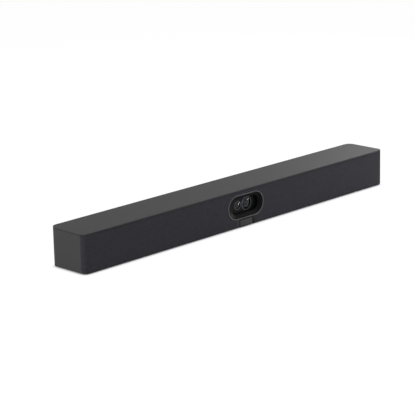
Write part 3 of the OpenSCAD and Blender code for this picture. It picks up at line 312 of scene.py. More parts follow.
def front_lens_glass():
    f = Finish("smoky_lens_glass", Transmission_Weight=1.0, IOR=FRONT_INDEX)
    # painted shade: the front glass is coloured darker where its surface turns away from the eye
    painted_edge_mask = f.add("LayerWeight", {"Blend": 0.35}, out="Facing")
    dust = f.noise(700, detail=3)
    return f.done(Base_Color=f.mix(painted_edge_mask, *GLASS_TINTS_AND_PAINTED_EDGES["front"]), Roughness=f.span(dust, 0.008, 0.03))


def deep_lens_glass():
    f = Finish("deep_lens_element", Specular_IOR_Level=0.06, IOR=1.5)
    # painted sheen: the deep glass is coloured lighter and bluer where its surface turns away from the eye
    painted_edge_mask = f.add("LayerWeight", {"Blend": 0.5}, out="Facing")
    dust = f.noise(900, detail=2)
    f.feed(f.shader, {"Specular Tint": (0.75, 0.72, 1, 1)})
    return f.done(Base_Color=f.mix(painted_edge_mask, *GLASS_TINTS_AND_PAINTED_EDGES["deep"]), Roughness=f.span(dust, 0.05, 0.1))


finishes["lens_glass"] = front_lens_glass()
deep_glass = deep_lens_glass()
print("front glass index", FRONT_INDEX)

# %% [markdown]
# ## Boards and small parts
# The circuit board is green varnish over copper tracks, drawn with a brick pattern whose lines
# stand up a little, and with copper dots for the plated holes. The image sensors carry a fine
# checker of cells, the ribbon is amber film with copper tracks, and the cones are pressed paper.

# %% Electronics and paper
VARNISH = ((0.012, 0.075, 0.035, 1), (0.025, 0.16, 0.07, 1))
FILM = ((0.42, 0.17, 0.02, 1), (0.62, 0.29, 0.05, 1))
PLATED_HOLE = (0.55, 0.42, 0.16, 1)
WHITE, BLACK = (1, 1, 1, 1), (0, 0, 0, 1)


def circuit_board():
    f = Finish("solder_masked_board", Specular_IOR_Level=0.5, Coat_Weight=0.3, Coat_Roughness=0.2)
    where = f.place()
    bricks = {"Vector": where, "Scale": 260.0, "Mortar Size": 0.035, "Color1": WHITE, "Color2": WHITE,
              "Mortar": BLACK}
    lanes = f.add("TexBrick", bricks, out="Fac", offset=0.37)
    vias = f.add("TexVoronoi", {"Vector": where, "Scale": 420.0})
    dots = f.span(vias, 1, 0, start=0.06, end=0.14)
    colour = f.mix(dots, f.mix(lanes, *VARNISH), PLATED_HOLE)
    return f.done(Base_Color=colour, Roughness=f.span(f.noise(300), 0.3, 0.42),
                  Normal=f.bump(lanes, 0.03 * MM, strength=0.5))


def silicon():
    f = Finish("sensor_silicon", Metallic=0.6, Coat_Weight=0.5, Coat_Roughness=0.05)
    grid = f.add("TexChecker", {"Vector": f.place(), "Scale": 1800.0, "Color1": grey(46, (0.8, 0.9, 1.2)),
                                "Color2": grey(58, (0.9, 1, 1.2))})
    return f.done(Base_Color=grid, Roughness=f.span(f.noise(400), 0.15, 0.25))


def amber_film():
    f = Finish("polyimide_film", Transmission_Weight=0.15, IOR=1.6, Coat_Weight=0.3, Coat_Roughness=0.15)
    tracks = f.add("TexWave", {"Vector": f.place(), "Scale": 320.0}, bands_direction="X")
    colour = f.mix(f.span(tracks, 0, 1, start=0.45, end=0.55), *FILM)
    return f.done(Base_Color=colour, Roughness=f.span(f.noise(500), 0.3, 0.4))


def pressed_paper():
    f = Finish("pressed_cone_paper", Specular_IOR_Level=0.3, Sheen_Weight=0.1)
    fibre = f.noise(1100, detail=5, rough=0.8)
    return f.done(Base_Color=f.mix(f.span(fibre, 0, 1), grey(38), grey(66)),
                  Roughness=f.span(fibre, 0.75, 0.95), Normal=f.bump(fibre, 0.05 * MM, strength=0.6))


finishes.update({"board_green": circuit_board(), "sensor_silicon": silicon(), "flex_amber": amber_film(),
                 "cone_paper": pressed_paper()})
print("finishes for the solids", len(finishes))

# %% [markdown]
# ## Soft edges for the solids
# Real edges are never perfectly sharp: moulding and stamping leave a radius that catches light. The
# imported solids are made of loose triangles, so a short stack of modifiers does three things in
# turn: weld the triangles, dissolve the lines inside flat faces, and bevel what is still an edge.
# The mesh itself isn't touched. The ribbon, the cones with their surrounds, the image sensors and
# the glasses that skins replace stay plain.

# %% Soften and paint the solids
EDGES = {"top_cover": 0.55, "left_end_cap": 0.35, "right_end_cap": 0.35, "rear_panel": 0.3,
         "bottom_tray": 0.35, "grille_frame": 0.2, "rubber_feet": 0.4, "name_plate": 0.2,
         "window_trim": 0.28, "camera_pocket": 0.25, "lens_cap": 0.12, "lens_cap_track": 0.12,
         "port_plate": 0.2, "heat_sink": 0.15, "left_speaker_enclosure": 0.6,
         "right_speaker_enclosure": 0.6, "antennas": 0.1}
PLAIN = {"camera_flex", "left_speaker_cone", "right_speaker_cone", "left_speaker_surround",
         "right_speaker_surround", "wide_lens_glass", "narrow_lens_glass", "image_sensors"}
SMALL_EDGE, LARGE_EDGE = 0.1, 0.3
WELD_GAP = 1e-6
FLAT_ANGLE, SHARP_ANGLE = math.radians(0.6), math.radians(32)
FACE_WEIGHT = 60


def soften(solid, width):
    weld = solid.modifiers.new("weld", "WELD")
    weld.merge_threshold = WELD_GAP
    flat = solid.modifiers.new("flat faces", "DECIMATE")
    flat.decimate_type, flat.angle_limit = "DISSOLVE", FLAT_ANGLE
    edge = solid.modifiers.new("edge radius", "BEVEL")
    edge.width, edge.segments = width * MM, 3 if width > LARGE_EDGE else 2
    edge.limit_method, edge.angle_limit = "ANGLE", SHARP_ANGLE
    shading = solid.modifiers.new("shading", "WEIGHTED_NORMAL")
    shading.weight = FACE_WEIGHT


slot_of = {part["node"]: part["material_slot"] for part in frame["record"]["subparts"]}
for name, solid in frame["nodes"].items():
    for holder in solid.material_slots:
        holder.material = barrel_paint if name.endswith("lens_barrel") else finishes[slot_of[name]]
    if name not in PLAIN:
        soften(solid, EDGES.get(name, SMALL_EDGE))
print("softened", len(frame["nodes"]) - len(PLAIN), "of", len(frame["nodes"]))

# %% [markdown]
# ## Shapes made of outlines
# The window's funnel and other turned or moulded pieces are skins over a row of outlines. Each
# outline has the same number of points, so joining point to point makes clean strips of faces.
# An outline here is a rectangle with round corners. With a radius of half its height it is a
# stadium, and a stadium as wide as it is high is a circle.

# %% Outlines and skins
CORNER_STEPS = 16
POINT_GAP = 1e-7
END_LINE = 1e-4  # keeps the points at a stadium's ends apart


def outline(width, height, radius):
    points = []
    for corner, (sx, sz) in enumerate(((1, 1), (-1, 1), (-1, -1), (1, -1))):
        cx, cz = sx * (width / 2 - radius), sz * (height / 2 - radius)
        for k in range(CORNER_STEPS + 1):
            a = math.pi / 2 * (corner + k / CORNER_STEPS)
            points.append((cx + radius * math.cos(a), cz + radius * math.sin(a)))
    return points


def stadium(width, height):
    return outline(width, height, height / 2 - END_LINE)


def circle(radius):
    return stadium(2 * radius, 2 * radius)


def ring(points, y, x=0.0, z=0.0):
    """An outline set upright in the model, at a depth y and round a middle x and z."""
    return [(x + px, y, z + pz) for px, pz in points]


def to_object(name, mesh, finish, body="root", smooth=True):
    obj = bpy.data.objects.new(name, mesh)
    SCENE.collection.objects.link(obj)
    mesh.materials.append(finish)
    for face in mesh.polygons:
        face.use_smooth = smooth
    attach(obj, body)
    return obj


def outward(mesh):
    work = bmesh.new()
    work.from_mesh(mesh)
    bmesh.ops.remove_doubles(work, verts=work.verts, dist=POINT_GAP)
    bmesh.ops.recalc_face_normals(work, faces=work.faces)
    if work.calc_volume(signed=True) < 0:
        bmesh.ops.reverse_faces(work, faces=work.faces)
    work.to_mesh(mesh)
    work.free()
    return mesh


def skin(name, rings, close=True, caps=False):
    """Faces between rings of points; close joins the last ring to the first."""
    count = len(rings[0])
    vertices = [tuple(c * MM for c in p) for loop in rings for p in loop]
    faces = []
    for a in range(len(rings) if close else len(rings) - 1):
        b = (a + 1) % len(rings)
        for k in range(count):
            n = (k + 1) % count
            faces.append((a * count + k, a * count + n, b * count + n, b * count + k))
    if caps:
        faces += [tuple(range(count)), tuple(range((len(rings) - 1) * count, len(rings) * count))]
    mesh = bpy.data.meshes.new(name)
    mesh.from_pydata(vertices, [], faces)
    return outward(mesh)


print("an outline has", len(circle(1)), "points")

# %% [markdown]
# ## The window's funnel
# Inside the metal rim a dark plastic funnel narrows to the opening in front of the lenses. The
# solid is made of flat facets, so this skin replaces it. It goes round once: up the outside of the
# nose, over a small lip, down the curved funnel, past a straight land and back along the flange.

# %% Window funnel
RIM_WALL, LAND = 1.3, 0.6
OPENING, OPENING_RISE = (54.0, 21.5), 0.4
FLANGE_RADIUS, FLANGE_CHAMFER = 12.0, 0.2
LIP, LIP_DEPTH, LIP_STEPS = 0.6, 0.3, 3
SWELL, FUNNEL_STEPS = 0.10, 8
WINDOW_Z = middle_of("window_trim", Z)
OPENING_Z = WINDOW_Z + OPENING_RISE
NOSE = [size_of("window_trim", axis, -RIM_WALL) for axis in (X, Z)]
FLANGE = [size_of("camera_bezel", axis) for axis in (X, Z)]
NOSE_Y, BACK_Y = reach("camera_bezel", Y)
LAND_Y, FLANGE_Y = BACK_Y - LAND, reach("window_trim", Y)[1]


def funnel_rings():
    rings = [ring(stadium(*NOSE), y, z=WINDOW_Z) for y in (FLANGE_Y, NOSE_Y + LIP_DEPTH)]
    for k in range(1, LIP_STEPS + 1):
        a = math.pi / 2 * k / LIP_STEPS
        size = [side - LIP * (1 - math.cos(a)) for side in NOSE]
        rings.append(ring(stadium(*size), NOSE_Y + LIP_DEPTH * (1 - math.sin(a)), z=WINDOW_Z))
    for k in range(FUNNEL_STEPS + 1):
        t = k / FUNNEL_STEPS
        ease = t + SWELL * math.sin(math.pi * t)
        size = [wide - 2 * LIP + (narrow - (wide - 2 * LIP)) * ease for wide, narrow in zip(NOSE, OPENING)]
        z = WINDOW_Z + (OPENING_Z - WINDOW_Z) * ease
        rings.append(ring(stadium(*size), NOSE_Y + (LAND_Y - NOSE_Y) * t, z=z))
    rings.append(ring(stadium(*OPENING), BACK_Y, z=OPENING_Z))
    for cut, y in ((FLANGE_CHAMFER, BACK_Y), (0, BACK_Y - FLANGE_CHAMFER), (0, FLANGE_Y)):
        size = [side - 2 * cut for side in FLANGE]
        rings.append(ring(outline(*size, FLANGE_RADIUS - cut), y, z=WINDOW_Z))
    return rings


funnel = to_object("window_funnel", skin("window_funnel", funnel_rings()), finishes["dark_plastic"])
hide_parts("camera_bezel")
funnel.modifiers.new("shading", "WEIGHTED_NORMAL")
print("funnel faces", len(funnel.data.polygons))

# %% [markdown]
# ## The cloth front
# One strip of cloth is stretched round the frame, with holes for the window and the small plate
# below it. The strip is laid out flat first. A constrained triangulation fills the outline round
# the holes, with extra rows close to every edge. Then each point goes to its place on the bar, and
# the cloth turns in a little where it is tucked behind an edge.

# %% Cloth front
CLOTH = {"thick": 0.3, "tuck": 0.28}
CLOTH["front"], CLOTH["corner"] = reach("grille_fabric", Y)[0], size_of("grille_fabric", Y)
CLOTH["half"] = size_of("grille_fabric", X) / 2 - CLOTH["corner"]
CLOTH["low"], CLOTH["high"] = reach("grille_fabric", Z)
ARC = CLOTH["corner"] * math.pi / 2
REACH = CLOTH["half"] + ARC
CUT_GAP = 0.1
HOLE = [size_of("window_trim", axis, CUT_GAP) for axis in (X, Z)]
NOTCH = (size_of("name_plate", X, CUT_GAP) / 2, reach("name_plate", Z, CUT_GAP)[1])  # half width, top
EDGE_ROWS = (0.25, 0.6, 1.2)
HOLE_ROWS = (*EDGE_ROWS, 3.0)
ARC_STEPS, FLAT_STEPS, HIGH_STEPS, NOTCH_STEPS = 12, 45, 9, 4
CLEARANCE, CLEAR_SHARE, EDGE_SLIP = 0.2, 0.9, 1e-3
INSIDE_WITH_HOLES, MERGE_GAP = 2, 1e-5


def columns():
    arc = [CLOTH["half"] + ARC * k / ARC_STEPS for k in range(ARC_STEPS + 1)]
    flat = [CLOTH["half"] * k / FLAT_STEPS for k in range(1 - FLAT_STEPS, FLAT_STEPS)]
    return [-v for v in reversed(arc)] + flat + arc


def edge_distance(u, v):
    """How far a point of the flat strip is from the nearest edge of the cloth."""
    straight = max(abs(u) - (HOLE[0] - HOLE[1]) / 2, 0)
    hole = math.hypot(straight, v - WINDOW_Z) - HOLE[1] / 2
    notch = math.hypot(max(abs(u) - NOTCH[0], 0), max(v - NOTCH[1], 0))
    if abs(u) < NOTCH[0] and v < NOTCH[1]:
        notch = -1
    return min(v - CLOTH["low"], CLOTH["high"] - v, hole, notch)


def on_bar(u, v):
    side = 1 if u > 0 else -1
    depth = CLOTH["tuck"] * (1 - min(max(edge_distance(u, v), 0) / EDGE_ROWS[-1], 1)) ** 2
    a = max(abs(u) - CLOTH["half"], 0) / CLOTH["corner"]
    r = CLOTH["corner"] - depth
    x = side * (min(abs(u), CLOTH["half"]) + r * math.sin(a))
    return (x * MM, (CLOTH["front"] + CLOTH["corner"] - r * math.cos(a)) * MM, v * MM)


def cloth_border(grid, rows):
    low, high, side, top = CLOTH["low"], CLOTH["high"], NOTCH[0], NOTCH[1]
    border = [(u, low) for u in grid if u < -side] + [(-side, low), (-side, top)]
    border += [(-side + side * k / NOTCH_STEPS, top) for k in range(1, 2 * NOTCH_STEPS)]
    border += [(side, top), (side, low)] + [(u, low) for u in grid if u > side]
    border += [(REACH, v) for v in rows] + [(u, high) for u in reversed(grid)]
    return border + [(-REACH, v) for v in reversed(rows)]


def cloth_points(grid, rows):
    points = [(u, v) for u in grid[1:-1] for v in rows if edge_distance(u, v) > CLEARANCE]
    for gap in HOLE_ROWS:
        more = [(u, v + WINDOW_Z) for u, v in stadium(HOLE[0] + 2 * gap, HOLE[1] + 2 * gap)]
        points += [(u, v) for u, v in more if edge_distance(u, v) > gap * CLEAR_SHARE]
    return points


def cloth_mesh():
    low, high, grid = CLOTH["low"], CLOTH["high"], columns()
    rows = [low + d for d in EDGE_ROWS] + [low + (high - low) * k / HIGH_STEPS for k in range(1, HIGH_STEPS)]
    rows += [high - d for d in reversed(EDGE_ROWS)]
    hole = [(u, v + WINDOW_Z) for u, v in stadium(*HOLE)]
    flat, links = [], []
    for loop in (cloth_border(grid, rows), hole):
        base = len(flat)
        flat += loop
        links += [(base + k, base + (k + 1) % len(loop)) for k in range(len(loop))]
    flat += cloth_points(grid, rows)
    points, _, faces, *_ = delaunay_2d_cdt([Vector(p) for p in flat], links, [], INSIDE_WITH_HOLES, MERGE_GAP)
    kept = []
    for face in faces:
        u, v = (sum(points[i][k] for i in face) / len(face) for k in (0, 1))
        if edge_distance(u, v) > -EDGE_SLIP:
            kept.append(face)
    mesh = bpy.data.meshes.new("front_cloth")
    mesh.from_pydata([on_bar(*p) for p in points], [], kept)
    layer = mesh.uv_layers.new(name="weave")
    for loop in mesh.loops:
        layer.data[loop.index].uv = [c * MM for c in points[loop.vertex_index]]
    return mesh


cloth = to_object("front_cloth", cloth_mesh(), finishes["fabric"])
if cloth.data.polygons[0].normal.y > 0:
    cloth.data.flip_normals()
wall = cloth.modifiers.new("thickness", "SOLIDIFY")
wall.thickness, wall.offset = CLOTH["thick"] * MM, -1
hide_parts("grille_fabric")

# %% [markdown]
# ## Inside the lenses
# Behind each front glass there is a dark tunnel with stepped rings that catch stray light, and then
# a deeper, nearly black glass with a hollow face, like the inner lenses of a real one. It is a skin
# of circles.

# %% Deep lens elements
LENSES = {label: (middle_of(label + "_glass", X), size_of(label + "_glass", X) / 2)
          for label in ("wide_lens", "narrow_lens")}  # name: middle and radius
LENS_Z, SEAT_Y = middle_of("wide_lens_glass", Z), reach("wide_lens_glass", Y)[1]
TUBE_WALL, BOWL_STEPS = 1.5, 9
BOWL_RIM, BOWL_DEPTH, BOWL_BACK = 2.6, 1.6, 4.4  # how far behind the seat


def hollow_element(name, x, radius):
    tube = radius - TUBE_WALL
    bowl = []
    for k in range(1, BOWL_STEPS):
        t = k / BOWL_STEPS
        bowl.append(ring(circle(tube * t), SEAT_Y + BOWL_RIM + BOWL_DEPTH * (1 - t * t), x, LENS_Z))
    side = [ring(circle(tube), SEAT_Y + y, x, LENS_Z) for y in (BOWL_RIM, BOWL_BACK)]
    return skin(name, bowl + side, close=False, caps=True)


for label, (x, radius) in LENSES.items():
    name = label + "_deep_element"
    to_object(name, hollow_element(name, x, radius), deep_glass)
print("deep elements for", list(LENSES))

# %% [markdown]
# A polished lens is a true part of a ball, and glints show every facet. These two front glasses are
# skins of circles with an even step in radius, and a small chamfer at both edges. They replace the
# faceted solids.

# %% Front glasses
GLASS_EDGE, CHAMFER, DOME_STEPS = 1.8, 0.12, 24
RIM_Y, BACK_INSET = SEAT_Y - GLASS_EDGE, 4 * CHAMFER
RISES = {label: round(RIM_Y - reach(label + "_glass", Y)[0], DECIMALS) for label in LENSES}


def front_glass(name, x, radius, rise):
    ball = (radius * radius + rise * rise) / (2 * rise)
    loops = []
    for k in range(1, DOME_STEPS + 1):
        r = (radius - CHAMFER) * k / DOME_STEPS
        loops.append((r, RIM_Y - (math.sqrt(ball * ball - r * r) - (ball - rise))))
    loops += [(radius, RIM_Y + CHAMFER), (radius, SEAT_Y - CHAMFER), (radius - CHAMFER, SEAT_Y),
              (radius - BACK_INSET, SEAT_Y)]
    return skin(name, [ring(circle(r), y, x, LENS_Z) for r, y in loops], close=False, caps=True)


for label, (x, radius) in LENSES.items():
    name = label + "_front_glass"
    glass = to_object(name, front_glass(name, x, radius, RISES[label]), finishes["lens_glass"])
    glass.modifiers.new("shading", "WEIGHTED_NORMAL")
    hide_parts(label + "_glass")
print("front glasses for", list(LENSES))

# %% [markdown]
# ## Repeated parts with Geometry Nodes
# Contacts, baffle rings and screw threads are one small shape many times over. A Geometry Nodes
# tree says the rule once and has named inputs for its sizes, so the same tree serves several places.
# Its result is turned into a plain mesh before it joins the model.

# %% Helpers for node trees
QUARTER = math.radians(90)
UNTURNED = Matrix.Identity(4)
FACING_BACK = Matrix.Rotation(QUARTER, 4, "X")


def new_tree(name, inputs):
    tree = bpy.data.node_groups.new(name, "GeometryNodeTree")
    tree.interface.new_socket("Geometry", in_out="OUTPUT", socket_type="NodeSocketGeometry")
    for label, kind in inputs.items():
        tree.interface.new_socket(label, in_out="INPUT", socket_type="NodeSocket" + kind)
    tree.nodes.new("NodeGroupInput")
    return tree


def grow(tree, kind, inputs=None, out=0, **settings):
    node = tree.nodes.new(kind)
    for key, value in settings.items():
        setattr(node, key, value)
    for key, value in (inputs or {}).items():
        if isinstance(value, bpy.types.NodeSocket):
            tree.links.new(value, node.inputs[key])
        else:
            node.inputs[key].default_value = value
    return node.outputs[out]


def given(tree, label):
    return tree.nodes["Group Input"].outputs[label]


def end_tree(tree, geometry):
    whole = grow(tree, "GeometryNodeRealizeInstances", {0: geometry})
    painted = grow(tree, "GeometryNodeSetMaterial", {0: whole, "Material": given(tree, "Finish")})
    exit_node = tree.nodes.new("NodeGroupOutput")
    tree.links.new(painted, exit_node.inputs[0])
    return tree


def at(middle):
    return Matrix.Translation([c * MM for c in middle])


def run_tree(name, tree, values, finish, place=UNTURNED, smooth=False):
    carrier = bpy.data.objects.new(name + "_carrier", bpy.data.meshes.new(name))
    SCENE.collection.objects.link(carrier)
    rule = carrier.modifiers.new("rule", "NODES")
    rule.node_group = tree
    for item in tree.interface.items_tree:
        if item.in_out == "INPUT" and item.name in values:
            rule[item.identifier] = values[item.name]
        elif item.in_out == "INPUT" and item.name == "Finish":
            rule[item.identifier] = finish
    solved = carrier.evaluated_get(bpy.context.evaluated_depsgraph_get())
    mesh = bpy.data.meshes.new_from_object(solved)
    bpy.data.objects.remove(carrier)
    mesh.transform(place)
    mesh.name = name
    mesh.materials.clear()
    return to_object(name, mesh, finish, smooth=smooth)


print("helpers ready")

# %% [markdown]
# The first tree sets small bars in a row. It makes the contacts of the sockets in the rear bay.

# %% Contacts in the sockets
def row_tree():
    tree = new_tree("row_of_bars", {"Count": "Int", "Pitch": "Float", "Bar": "Vector", "Finish": "Material"})
    count = given(tree, "Count")
    step = grow(tree, "ShaderNodeCombineXYZ", {0: given(tree, "Pitch")})
    gaps = grow(tree, "ShaderNodeMath", {0: count, 1: 1.0}, operation="SUBTRACT")
    back = grow(tree, "ShaderNodeMath", {0: gaps, 1: -0.5}, operation="MULTIPLY")
    start = grow(tree, "ShaderNodeVectorMath", {0: step, 3: back}, operation="SCALE")
    line = grow(tree, "GeometryNodeMeshLine", {"Count": count, "Start Location": start, "Offset": step})
    bar = grow(tree, "GeometryNodeMeshCube", {"Size": given(tree, "Bar")})
    return end_tree(tree, grow(tree, "GeometryNodeInstanceOnPoints", {"Points": line, "Instance": bar}))


def row_of_bars(name, count, pitch, bar, place, finish):
    sizes = {"Count": count, "Pitch": pitch * MM, "Bar": [side * MM for side in bar]}
    return run_tree(name, rows, sizes, finish, place)


rows = row_tree()
BAY_Y, BOARD_TOP = reach("port_plate", Y)[1], reach("network_jack", Z)[0]
NETWORK_X, USB_C_X = middle_of("network_jack", X), middle_of("usb_c_jack", X)
USB_HALF = 6.6
USB_X = reach("usb_jacks", X, -USB_HALF)
CONTACTS = {  # name: count, pitch, bar, x of the row's middle, depth in the bay, rise over the board
    "network_contacts": (8, 1.02, (0.4, 8.0, 0.3), NETWORK_X, 6.0, 8.6),
    "left_usb_contacts": (4, 2.4, (1.3, 6.5, 0.12), USB_X[0], 6.0, 2.86),
    "right_usb_contacts": (4, 2.4, (1.3, 6.5, 0.12), USB_X[1], 6.0, 2.86),
    "usb_c_contacts": (12, 0.5, (0.26, 4.2, 0.06), USB_C_X, 3.7, 2.02),
    "left_video_contacts": (10, 1.0, (0.4, 7.0, 0.08), 9.36, 5.5, 3.63),
    "right_video_contacts": (10, 1.0, (0.4, 7.0, 0.08), 29.64, 5.5, 3.63),
}
for label, (count, pitch, bar, x, depth, rise) in CONTACTS.items():
    row_of_bars(label, count, pitch, bar, at((x, BAY_Y - depth, BOARD_TOP + rise)), gold)
print("rows of contacts", len(CONTACTS))

# %% [markdown]
# The same tree sets the small ceramic parts in rows beside the chips, and it makes the dust screen
# that lies behind the vents: one row of upright wires and one row of level wires, in a flat rim.

# %% Small board parts and the dust screen
PART_ROWS = {  # name: count, pitch, bar, middle of the row, angle
    "memory_capacitors": (9, 1.3, (0.7, 1.2, 0.7), (-6.7, -5.9), 0),
    "radio_capacitors": (8, 1.4, (0.7, 1.2, 0.6), (-44.8, -9.2), 0),
    "audio_capacitors": (6, 1.4, (0.8, 1.4, 0.8), (47, -8.4), 0),
    "supply_capacitors": (6, 1.5, (0.8, 1.6, 1.0), (77.4, -13.4), QUARTER),
}
for label, (count, pitch, bar, middle, angle) in PART_ROWS.items():
    place = at((*middle, BOARD_TOP + bar[2] / 2)) @ Matrix.Rotation(angle, 4, "Z")
    row_of_bars(label, count, pitch, bar, place, ceramic)

SCREEN = {"x": 0, "z": 41.6, "width": 186, "height": 12, "pitch": 1.2, "wire": 0.25}
SCREEN_RIM = {"width": 1.0, "corner": 0.6, "front": 29.9, "back": 30.4}
WIRE_Y = 30.1
black = finishes["black_plastic"]
for label, across, high, turned in (
        ("upright", SCREEN["width"], SCREEN["height"], UNTURNED),
        ("level", SCREEN["height"], SCREEN["width"], Matrix.Rotation(QUARTER, 4, "Y"))):
    row_of_bars("dust_screen_" + label + "_wires", int(across / SCREEN["pitch"]), SCREEN["pitch"],
                (SCREEN["wire"], SCREEN["wire"], high), at((SCREEN["x"], WIRE_Y, SCREEN["z"])) @ turned,
                black)


def rim_rings(front, back):
    outer, inner = (outline(SCREEN["width"] + more, SCREEN["height"] + more, SCREEN_RIM["corner"])
                    for more in (2 * SCREEN_RIM["width"], 0))
    return [ring(loop, y, z=SCREEN["z"]) for loop, y in
            ((outer, front), (outer, back), (inner, back), (inner, front))]


to_object("dust_screen_rim", skin("dust_screen_rim", rim_rings(SCREEN_RIM["front"], SCREEN_RIM["back"])),
          black, smooth=False)
print("board rows", len(PART_ROWS), "and the dust screen")

# %% [markdown]
# Two kinds of thin plate finish small places. A bare satin inlay lies in the recess of the plate
# under the window, and the network socket has two little light windows above its mouth.

# %% Inlay and light windows
PLATE_CORNER = 0.25
INLAY_INSET, INLAY_SINK, INLAY_THICK = 0.9, 0.06, 0.14
INLAY_SIZE = [size_of("name_plate", axis, -INLAY_INSET) for axis in (X, Z)]
INLAY_MIDDLE = [middle_of("name_plate", axis) for axis in (X, Z)]
INLAY_FRONT = reach("name_plate", Y)[0] + INLAY_SINK
LIGHT_SIZE, LIGHT_THICK, LIGHT_DROP, LIGHT_ASIDE = (2.4, 1.5), 0.06, 1.7, 6.2
LIGHT_Z = reach("network_jack", Z)[1] - LIGHT_DROP
LIGHT_X = {"green": NETWORK_X - LIGHT_ASIDE, "amber": NETWORK_X + LIGHT_ASIDE}


def thin_plate(name, size, middle, front, thick, finish):
    x, z = middle
    loops = [ring(outline(*size, PLATE_CORNER), y, x, z) for y in (front, front + thick)]
    return to_object(name, skin(name, loops, close=False, caps=True), finish, smooth=False)


thin_plate("name_plate_inlay", INLAY_SIZE, INLAY_MIDDLE, INLAY_FRONT, INLAY_THICK, satin)
for tone, x in LIGHT_X.items():
    thin_plate("network_" + tone + "_window", LIGHT_SIZE, (x, LIGHT_Z), BAY_Y, LIGHT_THICK,
               light_windows[tone])
print("inlay and", len(LIGHT_X), "light windows ready")

# %% [markdown]
# The second tree winds a ridge along a spiral. It cuts the look of a thread into the tripod bush
# under the bar and the two bushes for a wall bracket.

# %% Threads
SPIRAL_STEPS, RIDGE_SIDES = 40, 4


def thread_tree():
    sizes = {"Turns": "Float", "Radius": "Float", "Pitch": "Float", "Ridge": "Float"}
    tree = new_tree("thread", {**sizes, "Finish": "Material"})
    turns, radius, pitch, ridge = (given(tree, label) for label in sizes)
    rise = grow(tree, "ShaderNodeMath", {0: turns, 1: pitch}, operation="MULTIPLY")
    spiral = {"Resolution": SPIRAL_STEPS, "Rotations": turns, "Start Radius": radius,
              "End Radius": radius, "Height": rise}
    path = grow(tree, "GeometryNodeCurveSpiral", spiral)
    cut = grow(tree, "GeometryNodeCurvePrimitiveCircle", {"Resolution": RIDGE_SIDES, "Radius": ridge})
    wound = {"Curve": path, "Profile Curve": cut, "Fill Caps": True}
    return end_tree(tree, grow(tree, "GeometryNodeCurveToMesh", wound))


FIRST_TURN, INSERT_RADIUS = 0.6, 3
TRIPOD = (0, middle_of("tripod_insert", Y), reach("tripod_insert", Z)[0] + FIRST_TURN)
WALL_MOUNTS = [(x, reach("wall_mount_inserts", Y)[1] - FIRST_TURN, middle_of("wall_mount_inserts", Z))
               for x in reach("wall_mount_inserts", X, -INSERT_RADIUS)]
THREADS = {  # name: turns, radius, pitch, ridge, first turn's middle, direction
    "tripod_thread": (4.6, 3.0, 1.27, 0.42, TRIPOD, UNTURNED),
    "left_wall_mount_thread": (8, 1.92, 0.7, 0.24, WALL_MOUNTS[0], FACING_BACK),
    "right_wall_mount_thread": (8, 1.92, 0.7, 0.24, WALL_MOUNTS[1], FACING_BACK),
}
threads = thread_tree()
for label, (turns, radius, pitch, ridge, middle, turned) in THREADS.items():
    sizes = {"Turns": turns, "Radius": radius * MM, "Pitch": pitch * MM, "Ridge": ridge * MM}
    run_tree(label, threads, sizes, finishes["brass"], at(middle) @ turned, smooth=True)
print("threads", len(THREADS))

# %% [markdown]
# The third tree stacks rings that shrink towards the back. They are the stepped baffles inside each
# lens tube.

# %% Baffle rings
BAFFLES = {"rings": 4, "inset": 1.6, "spacing": -0.62, "wire": 0.2, "first": 0.35}
SHRINK, HOOP_STEPS, WIRE_SIDES = -0.07, 48, 6


def baffle_tree():
    tree = new_tree("baffles", {"Rings": "Int", "Radius": "Float", "Spacing": "Float", "Wire": "Float",
                                "Finish": "Material"})
    step = grow(tree, "ShaderNodeCombineXYZ", {2: given(tree, "Spacing")})
    line = grow(tree, "GeometryNodeMeshLine", {"Count": given(tree, "Rings"), "Offset": step})
    hoop, wire = (grow(tree, "GeometryNodeCurvePrimitiveCircle",
                       {"Resolution": steps, "Radius": given(tree, label)})
                  for label, steps in (("Radius", HOOP_STEPS), ("Wire", WIRE_SIDES)))
    solid = grow(tree, "GeometryNodeCurveToMesh", {"Curve": hoop, "Profile Curve": wire})
    index = grow(tree, "GeometryNodeInputIndex")
    size = grow(tree, "ShaderNodeMath", {0: index, 1: SHRINK, 2: 1.0}, operation="MULTIPLY_ADD")
    flat = grow(tree, "ShaderNodeCombineXYZ", {0: size, 1: size, 2: 1.0})
    stacked = {"Points": line, "Instance": solid, "Scale": flat}
    return end_tree(tree, grow(tree, "GeometryNodeInstanceOnPoints", stacked))


baffles = baffle_tree()
for label, (x, radius) in LENSES.items():
    sizes = {"Rings": BAFFLES["rings"], "Radius": (radius - BAFFLES["inset"]) * MM,
             "Spacing": BAFFLES["spacing"] * MM, "Wire": BAFFLES["wire"] * MM}
    place = at((x, SEAT_Y + BAFFLES["first"], LENS_Z)) @ FACING_BACK
    run_tree(label + "_baffles", baffles, sizes, black, place, smooth=True)
print("baffle rings for", list(LENSES))

# %% [markdown]
# ## The studio
# The object stands on a plain pale floor in soft light. To the camera, and in reflections, the floor
# and the surroundings are white. A part of the floor's own shading stays, and the floor's glow fades
# where something stands within a few millimetres of it, so the shadow under the feet still shows.

# %% Floor
FLOOR_GLOW, GLOW_STRENGTH = 0.92, 1.06
CONTACT, CONTACT_RAYS = 0.005, 8
FLOOR_HALF, PAPER = 12, (0.85, 0.85, 0.85, 1)


def seen_rays(tree):
    """One for rays from the camera, a mirror or glass; nought for light that lands on the object."""
    seen = [grow(tree, "ShaderNodeLightPath", out="Is " + kind + " Ray")
            for kind in ("Camera", "Glossy", "Transmission")]
    most = grow(tree, "ShaderNodeMath", {0: seen[0], 1: seen[1]}, operation="MAXIMUM")
    return grow(tree, "ShaderNodeMath", {0: most, 1: seen[2]}, operation="MAXIMUM")


